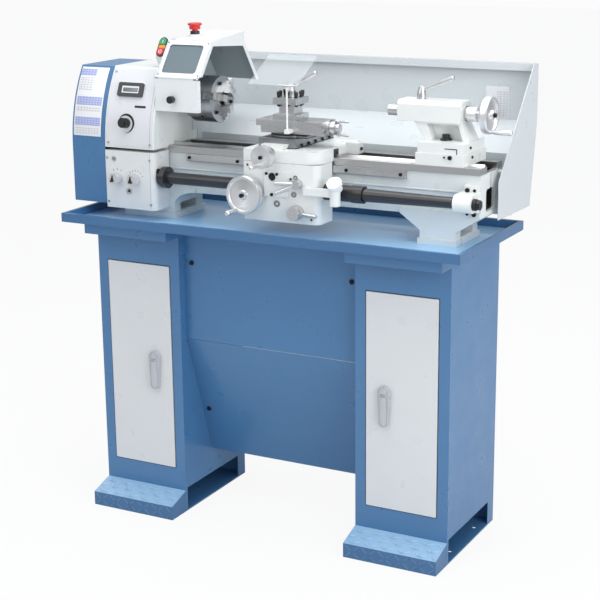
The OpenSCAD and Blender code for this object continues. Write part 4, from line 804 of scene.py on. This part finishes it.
# %% Plate with tables on the end cover
def bent_plate(name, x, width, low, high, radius, thick):
    start = math.asin((low - ARC_Z) / radius)
    sweep = math.asin((high - ARC_Z) / radius) - start
    middle = radius + thick / 2
    foot = (x, ARC_Y - middle * math.cos(start), ARC_Z + middle * math.sin(start))
    bpy.ops.object.select_all(action="DESELECT")
    bpy.ops.mesh.primitive_plane_add(size=1, location=foot, rotation=(-start, 0, 0))
    made = bpy.context.object
    made.scale = (width, thick, 1)
    bpy.ops.object.transform_apply(location=True, rotation=True, scale=True)
    bpy.ops.object.mode_set(mode="EDIT")
    bpy.ops.mesh.select_all(action="SELECT")
    bpy.ops.mesh.spin(steps=16, angle=sweep, center=(x, ARC_Y, ARC_Z), axis=(1, 0, 0))
    bpy.ops.mesh.select_all(action="SELECT")
    bpy.ops.mesh.remove_doubles(threshold=0.00001)
    bpy.ops.mesh.normals_make_consistent(inside=False)
    bpy.ops.object.mode_set(mode="OBJECT")
    return soften(rename(made, name), 0.0001)

def cover_tables(name, finish, spans):
    tables = [bent_plate(name, *span, 0.4010, 0.0004) for span in spans]
    settle(join(tables, name), "gear_cover", finish)

PLATE_X, UPPER_X = -0.5655, -0.5850
cover_plate = bent_plate("cover_plate", PLATE_X, 0.0920, 1.0765, 1.2620, 0.4006, 0.0006)
settle(cover_plate, "gear_cover", plate_paint)
cover_tables("cover_blue_tables", blue_print, [
    (PLATE_X, 0.0840, 1.1057, 1.1290), (PLATE_X, 0.0840, 1.1610, 1.1840), (UPPER_X, 0.0520, 1.2400, 1.2570)])
cover_tables("cover_grey_tables", grey_print, [
    (PLATE_X, 0.0800, 1.0824, 1.1020), (PLATE_X, 0.0800, 1.1436, 1.1575), (UPPER_X, 0.0460, 1.2020, 1.2350)])

# %% Chart on the splash guard
chart = block("chart_shape", (0.0680, 0.0880, 0.0008), [(0.0015, 0.0002)], edge=0.0001)
fit(chart, "guard_chart", "stand", plate_paint, "white_paint", ((0.4905, 0.2631, 1.1735), "front", 1.0))
rows = sliver("rows_shape", (0.0300, 0.0700, 0.0004), 0.0005)
fit(rows, "guard_chart_rows", "stand", grey_print, "white_paint", ((0.5050, 0.2622, 1.1700), "front", 1.0))
discard(chart, rows)

# %% Oil sight, filler plug and gearbox port
SIGHT, FILLER = (-0.4283, GEARBOX_Y, 0.931), (-0.4755, GEARBOX_Y, 1.0185)
sight_ring = stub("sight_ring", 0.0078, 0.0026, [(0.0022, -0.0014)], sides=40)
fit(sight_ring, "sight_rings", "stand", bright, "steel", (SIGHT, "front", 1.2), (FILLER, "front", 0.9))
lens = stub("lens", 0.0054, 0.0014, [(0.0012, 0.0006)], edge=0.0002)
mark(lens, "sight_lens", "stand", (SIGHT, "front", 1.0))
plug = stub("plug", 0.0046, 0.0022, [(0.0014, -0.0010)], sides=6, edge=0.0002)
fit(plug, "filler_plug", "stand", screw_steel, "steel", (FILLER, "front", 1.0))
port = stub("port", 0.0085, 0.0020, [(0.0016, -0.0012)])
mark(port, "gearbox_port", "stand", ((-0.343, -0.1507, 0.9887), "right", 1.0))
discard(lens, plug, port)

# %% [markdown]
# ### Switch on top of the headstock
# The start and stop keys are two halves of one long pill with an amber lamp between them. Each key has a stem in
# the box's bore and stands clear of the box by its stroke. A black rim frames the three.

# %% Keys and lamp
SWITCH_SLOPE = math.atan2(0.050, 0.032)
SWITCH_FOOT = Vector((-0.361, -0.094, 1.297))
UP_SLOPE = Vector((0, math.cos(SWITCH_SLOPE), math.sin(SWITCH_SLOPE)))
OFF_SLOPE = Vector((0, -math.sin(SWITCH_SLOPE), math.cos(SWITCH_SLOPE)))
LAMP_ALONG = 0.0295

def on_switch(along, rise):
    return SWITCH_FOOT + UP_SLOPE * along + OFF_SLOPE * rise, (SWITCH_SLOPE, 0, 0), 1.0

def half_pill(name, way):
    made = stub(name, 0.0104, 0.0032, sides=48, edge=0.0001)
    body = block("pill_body", (0.0208, 0.0098, 0.0032), edge=0.0001)
    body.location.y = -way * 0.0049
    weld(made, body)
    stem = stub("stem", 0.0086, 0.0100, sides=48, edge=0.0001)
    stem.location = (0, -way * 0.0026, -0.0090)
    weld(made, stem)
    return soften(made, 0.0006)

start_key = half_pill("start_shape", 1)
key = fit(start_key, "start_key", "start_button", green_plastic, "green_plastic", on_switch(0.0456, 0.0034))
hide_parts("start_button")
stop_key = half_pill("stop_shape", -1)
key = fit(stop_key, "stop_key", "stop_button", red_plastic, "red_plastic", on_switch(0.0134, 0.0034))
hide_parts("stop_button")
amber = plastic("amber_lamp", linear(238, 150, 42), linear(222, 126, 28), 0.25, coat=0.4)
lamp_lens = block("lamp_shape", (0.0208, 0.0104, 0.0050), [(0.0015, 0.0008)], edge=0.0006)
fit(lamp_lens, "switch_lamp", "stand", amber, "red_plastic", on_switch(LAMP_ALONG, 0))
discard(start_key, stop_key, lamp_lens)

# %% Rim round the keys
RIM_END = 0.0161
rim = stub("rim_shape", 0.0132, 0.0046, sides=48, edge=0.0001)
rim.location.y = RIM_END
only(rim)
bpy.ops.object.transform_apply(location=True)
lower = stub("rim_low", 0.0132, 0.0046, sides=48, edge=0.0001)
lower.location.y = -RIM_END
middle = block("rim_mid", (0.0264, 2 * RIM_END, 0.0046), edge=0.0001)
weld(weld(rim, lower), middle)
for y in (RIM_END, -RIM_END):
    bore = stub("rim_bore", 0.0110, 0.0200, sides=48, edge=0.0001)
    bore.location = (0, y, -0.0050)
    carve(rim, bore)
hollow = block("rim_hollow", (0.0220, 2 * RIM_END, 0.0200), edge=0.0001)
hollow.location.z = -0.0050
carve(rim, hollow)
soften(rim, 0.0004)
fit(rim, "switch_rim", "stand", black_plastic, "black_plastic", on_switch(LAMP_ALONG, -0.0001))
discard(rim)

# %% Signs on the keys
bar = sliver("bar_shape", (0.0018, 0.0085, 0.0006))
fit(bar, "start_sign", "start_button", surround_paint, "white_paint", on_switch(0.0446, 0.0065))
ring = stub("ring_shape", 0.0052, 0.0006, sides=40, edge=0.0001)
bore = stub("ring_bore", 0.0035, 0.0060, sides=40, edge=0.0001)
bore.location.z = -0.0020
carve(ring, bore)
fit(ring, "stop_sign", "stop_button", surround_paint, "white_paint", on_switch(0.0140, 0.0065))
discard(bar, ring)

# %% [markdown]
# ### Tread on the steps
# The sloping steps are pressed from tread plate: short raised bars in two directions, row by row. One bar is a
# block with a narrower raised top, and the rest are copies turned left and right in turn. Three rows lie on the
# slope, where the bars are painted paler as painted light from above, and two on the front.

# %% Tread bars
STEP_Y, STEP_Z, STEP_SLOPE = -0.245, 0.040, math.atan2(0.063 - 0.040, 0.076)
SLOPE_ROWS, ROWS, COLUMNS, BAR_SLANT = 3, 5, 11, 40
# Painted light: the bars on the slope are painted paler for the light from above.
lit_slope_bars = ((-0.6, -0.2449, 0.0), (0.6, -0.1, 0.08), linear(166, 200, 228), 0.0, 0.4)
tread_enamel = enamel("tread_enamel", linear(80, 124, 166), linear(68, 112, 154), zones=[lit_slope_bars])
tread_bar = block("tread_bar", (0.0240, 0.0056, 0.0008), [(0.0013, 0.0008)])

def bar_place(side, row, column):
    x = side * (0.2860 + column * 0.0242)
    slant = math.radians(BAR_SLANT if (row + column) % 2 else -BAR_SLANT)
    if row >= SLOPE_ROWS:
        return (x, -0.2449, 0.0105 + (row - SLOPE_ROWS) * 0.0190), (QUARTER, -slant, 0), 0.8
    along = 0.0150 + row * 0.0240
    rise = along * math.sin(STEP_SLOPE) - 0.0001
    return (x, STEP_Y + along * math.cos(STEP_SLOPE), STEP_Z + rise), (STEP_SLOPE, 0, slant), 1.0

bars = [bar_place(side, row, column) for side in (-1, 1) for row in range(ROWS) for column in range(COLUMNS)]
fit(tread_bar, "step_tread", "stand", tread_enamel, "blue_paint", *bars)
discard(tread_bar)

# %% [markdown]
# ### Carriage
# Socket screws hold the feed plate, the gib strips and the handwheels; the apron has three round oil sights and a
# dark bore plug. The graduated collars behind the cross wheel and on the top crank carry rings of fine strokes, and
# every tenth one is longer.

# %% Apron screws, sights and plug
APRON_Y, PLATE_Y = -0.178, -0.184
carriage_screws = [((x, y, z), "front", size) for x, y, z, size in (
    (0.0207, PLATE_Y, 1.0165, 0.75), (0.0520, PLATE_Y, 1.0165, 0.75), (0.0360, PLATE_Y, 0.9615, 0.85),
    (0.0900, APRON_Y, 1.0055, 0.55), (0.1500, APRON_Y, 0.9020, 0.5), (-0.0400, APRON_Y, 1.0350, 0.5))]
screw_in("carriage_screws", "carriage", *carriage_screws)
sights = [((x, APRON_Y, z), "front", size) for x, z, size in (
    (0.0990, 0.9650, 0.95), (0.0480, 0.9370, 1.15), (0.1040, 1.0100, 0.8))]
fit(sight_ring, "apron_sights", "carriage", screw_steel, "steel", *sights)
sight_glass = stub("sight_glass_shape", 0.0055, 0.0012, [(0.0016, 0.0007)], edge=0.0002)
pale_glass = plastic("pale_glass", linear(196, 202, 196), linear(168, 176, 166), 0.12, grain=0.0, coat=0.7)
fit(sight_glass, "sight_glasses", "carriage", pale_glass, "clear_sheet", *sights)
bore_plug = stub("plug_shape", 0.0100, 0.0016, [(0.0022, -0.0010), (0.0022, 0.0006)], sides=40)
fit(bore_plug, "apron_plug", "carriage", dark_steel, "steel", ((0.0370, PLATE_Y, 1.0095), "front", 1.0))
discard(sight_glass, sight_ring, bore_plug)

# %% Gib screws, wiper, lever arm and hub screws
gib_screws = [((0.086, y, 1.0850), "right", 0.8) for y in (-0.110, -0.070, -0.030, 0.010, 0.050)]
screw_in("gib_screws", "cross_slide", *gib_screws)
wiper = block("wiper_shape", (0.0210, 0.0220, 0.0040), [(0.0020, 0.0006)], edge=0.0006)
fit(wiper, "way_wiper", "carriage", black_plastic, "black_plastic", ((0.172, -0.0810, 1.0660), "right", 1.0))
side_screws = [((0.208, -0.0030, 1.0680), "right", 0.9), ((0.1763, -0.0810, 1.0660), "right", 0.5)]
screw_in("side_screws", "carriage", *side_screws)
arm = stub("arm_shape", 0.0052, 0.0540, [(0.0016, 0.0014)], edge=0.0008)
reach = Vector((-math.cos(math.radians(20)), -math.sin(math.radians(20)), 0.02))
arm_turn = reach.to_track_quat("Z", "Y").to_euler()
fit(arm, "half_nut_arm", "half_nut_lever", bright, "steel", ((0.1090, -0.1920, 0.9960), arm_turn, 1.0))
discard(wiper, arm)
screw_in("apron_hub_screw", "apron_wheel", ((-0.038, -0.2159, 0.958), "front", 1.15))
screw_in("cross_hub_screw", "cross_wheel", ((0.030, -0.2319, 1.066), "front", 1.0))

# %% Graduated collars
STROKES, LONG_EVERY, SHORT_SHARE = 60, 10, 0.55

def collar_spot(centre, axis, radius, shift, number):
    a = 2 * math.pi * number / STROKES
    x, y, z = centre
    side, rise = math.sin(a), math.cos(a)
    if axis == "x":
        return (x + shift, y - radius * side, z + radius * rise), (a, 0, 0), 1.0
    turn = Matrix(((0, rise, side), (1, 0, 0), (0, -side, rise))).to_euler()
    return (x + radius * side, y + shift, z + radius * rise), turn, 1.0

def strokes_round(name, body, centre, axis, radius, reach, start):
    rings = []
    for length, width, long in ((reach * SHORT_SHARE, 0.0005, False), (reach, 0.0006, True)):
        proto = block("stroke_shape", (length, width, 0.0004), [(0.0001, 0.0001)], edge=0.00005)
        picked = [i for i in range(STROKES) if (i % LONG_EVERY == 0) == long]
        spots = [collar_spot(centre, axis, radius, start + length / 2, i) for i in picked]
        rings.append(spread_out(proto, name + "_part", spots))
        discard(proto)
    settle(join(rings, name), body, mark_paint)

strokes_round("crank_strokes", "top_crank", (0.1584, -0.078, 1.131), "x", 0.01890, 0.0070, 0.0008)
strokes_round("cross_strokes", "cross_wheel", (0.030, -0.210, 1.066), "y", 0.02290, 0.0080, 0.0130)

# %% [markdown]
# ### Tailstock, chuck and latches
# The tailstock's two castings meet at a stepped seam with a clamping screw beside it. The chuck's face has three
# screws between its jaws. Each latch has a long paddle with round ends and two grooves, made from a cylinder of
# which one half is moved away from the other.

# %% Tailstock seam, screws and strokes
seam = sliver("seam_long", (0.0335, 0.0022, 0.0008))
drop = sliver("seam_drop", (0.0022, 0.0135, 0.0008))
drop.location = (0.0165, -0.0062, 0)
weld(seam, drop)
mark(seam, "tail_seam", "tailstock", ((0.5015, -0.0898, 1.0985), "front", 1.0))
discard(seam)
tail_screws = [((0.5015, -0.0930, 1.0770), "front", 1.1), ((0.4855, -0.0930, 1.0770), "front", 0.5),
               ((0.5370, -0.0480, 1.0985), "right", 0.7), ((0.5400, -0.0420, 1.0740), "right", 0.7)]
screw_in("tail_screws", "tailstock", *tail_screws)
strokes_round("tail_strokes", "tail_wheel", (0.5134, SPINDLE_Y, SPINDLE_Z), "x", 0.01890, 0.0080, 0.0010)
tail_hub = ((0.5889, SPINDLE_Y, SPINDLE_Z), "right", 1.15)
screw_in("tail_hub_screw", "tail_wheel", tail_hub)

# %% Chuck face screws
CHUCK_FACE, SCREW_CIRCLE = -0.2101, 0.046
face = []
for a in map(math.radians, (135, 255, 375)):
    place = (CHUCK_FACE, SPINDLE_Y - SCREW_CIRCLE * math.sin(a), SPINDLE_Z + SCREW_CIRCLE * math.cos(a))
    face.append((place, "right", 1.0))
screw_in("chuck_screws", "spindle", *face)

# %% Latch paddles
def capsule(name, radius, stretch, height, steps, edge):
    made = begin(name, bpy.ops.mesh.primitive_cylinder_add, vertices=48, radius=radius, depth=height,
                 location=(0, 0, height / 2))
    pick(made, "VERT", lambda vertex: vertex.co.y < 0)
    bpy.ops.transform.translate(value=(0, -stretch, 0))
    bpy.ops.object.mode_set(mode="OBJECT")
    work_top(made, steps)
    return soften(made, edge)

paddle_steps = [(0.0020, -0.0012), (0.0022, 0.0022), (0.0030, 0.0006)]
paddle = capsule("paddle_shape", 0.0142, 0.0840, 0.0024, paddle_steps, 0.0005)
groove = sliver("groove_shape", (0.0150, 0.0013, 0.0005), 0.0002)
for side, x in (("left", -0.359), ("right", 0.359)):
    latch = side + "_latch"
    fit(paddle, side + "_paddle", latch, latch_plastic, "grey_plastic", ((x, -0.1800, 0.4610), "front", 1.0))
    grooves = [((x, -0.1840, z), "front", 1.0) for z in (0.4535, 0.4480)]
    mark(groove, side + "_grooves", latch, *grooves)
discard(paddle, groove, socket_screw, cover_screw, flange_bolt)
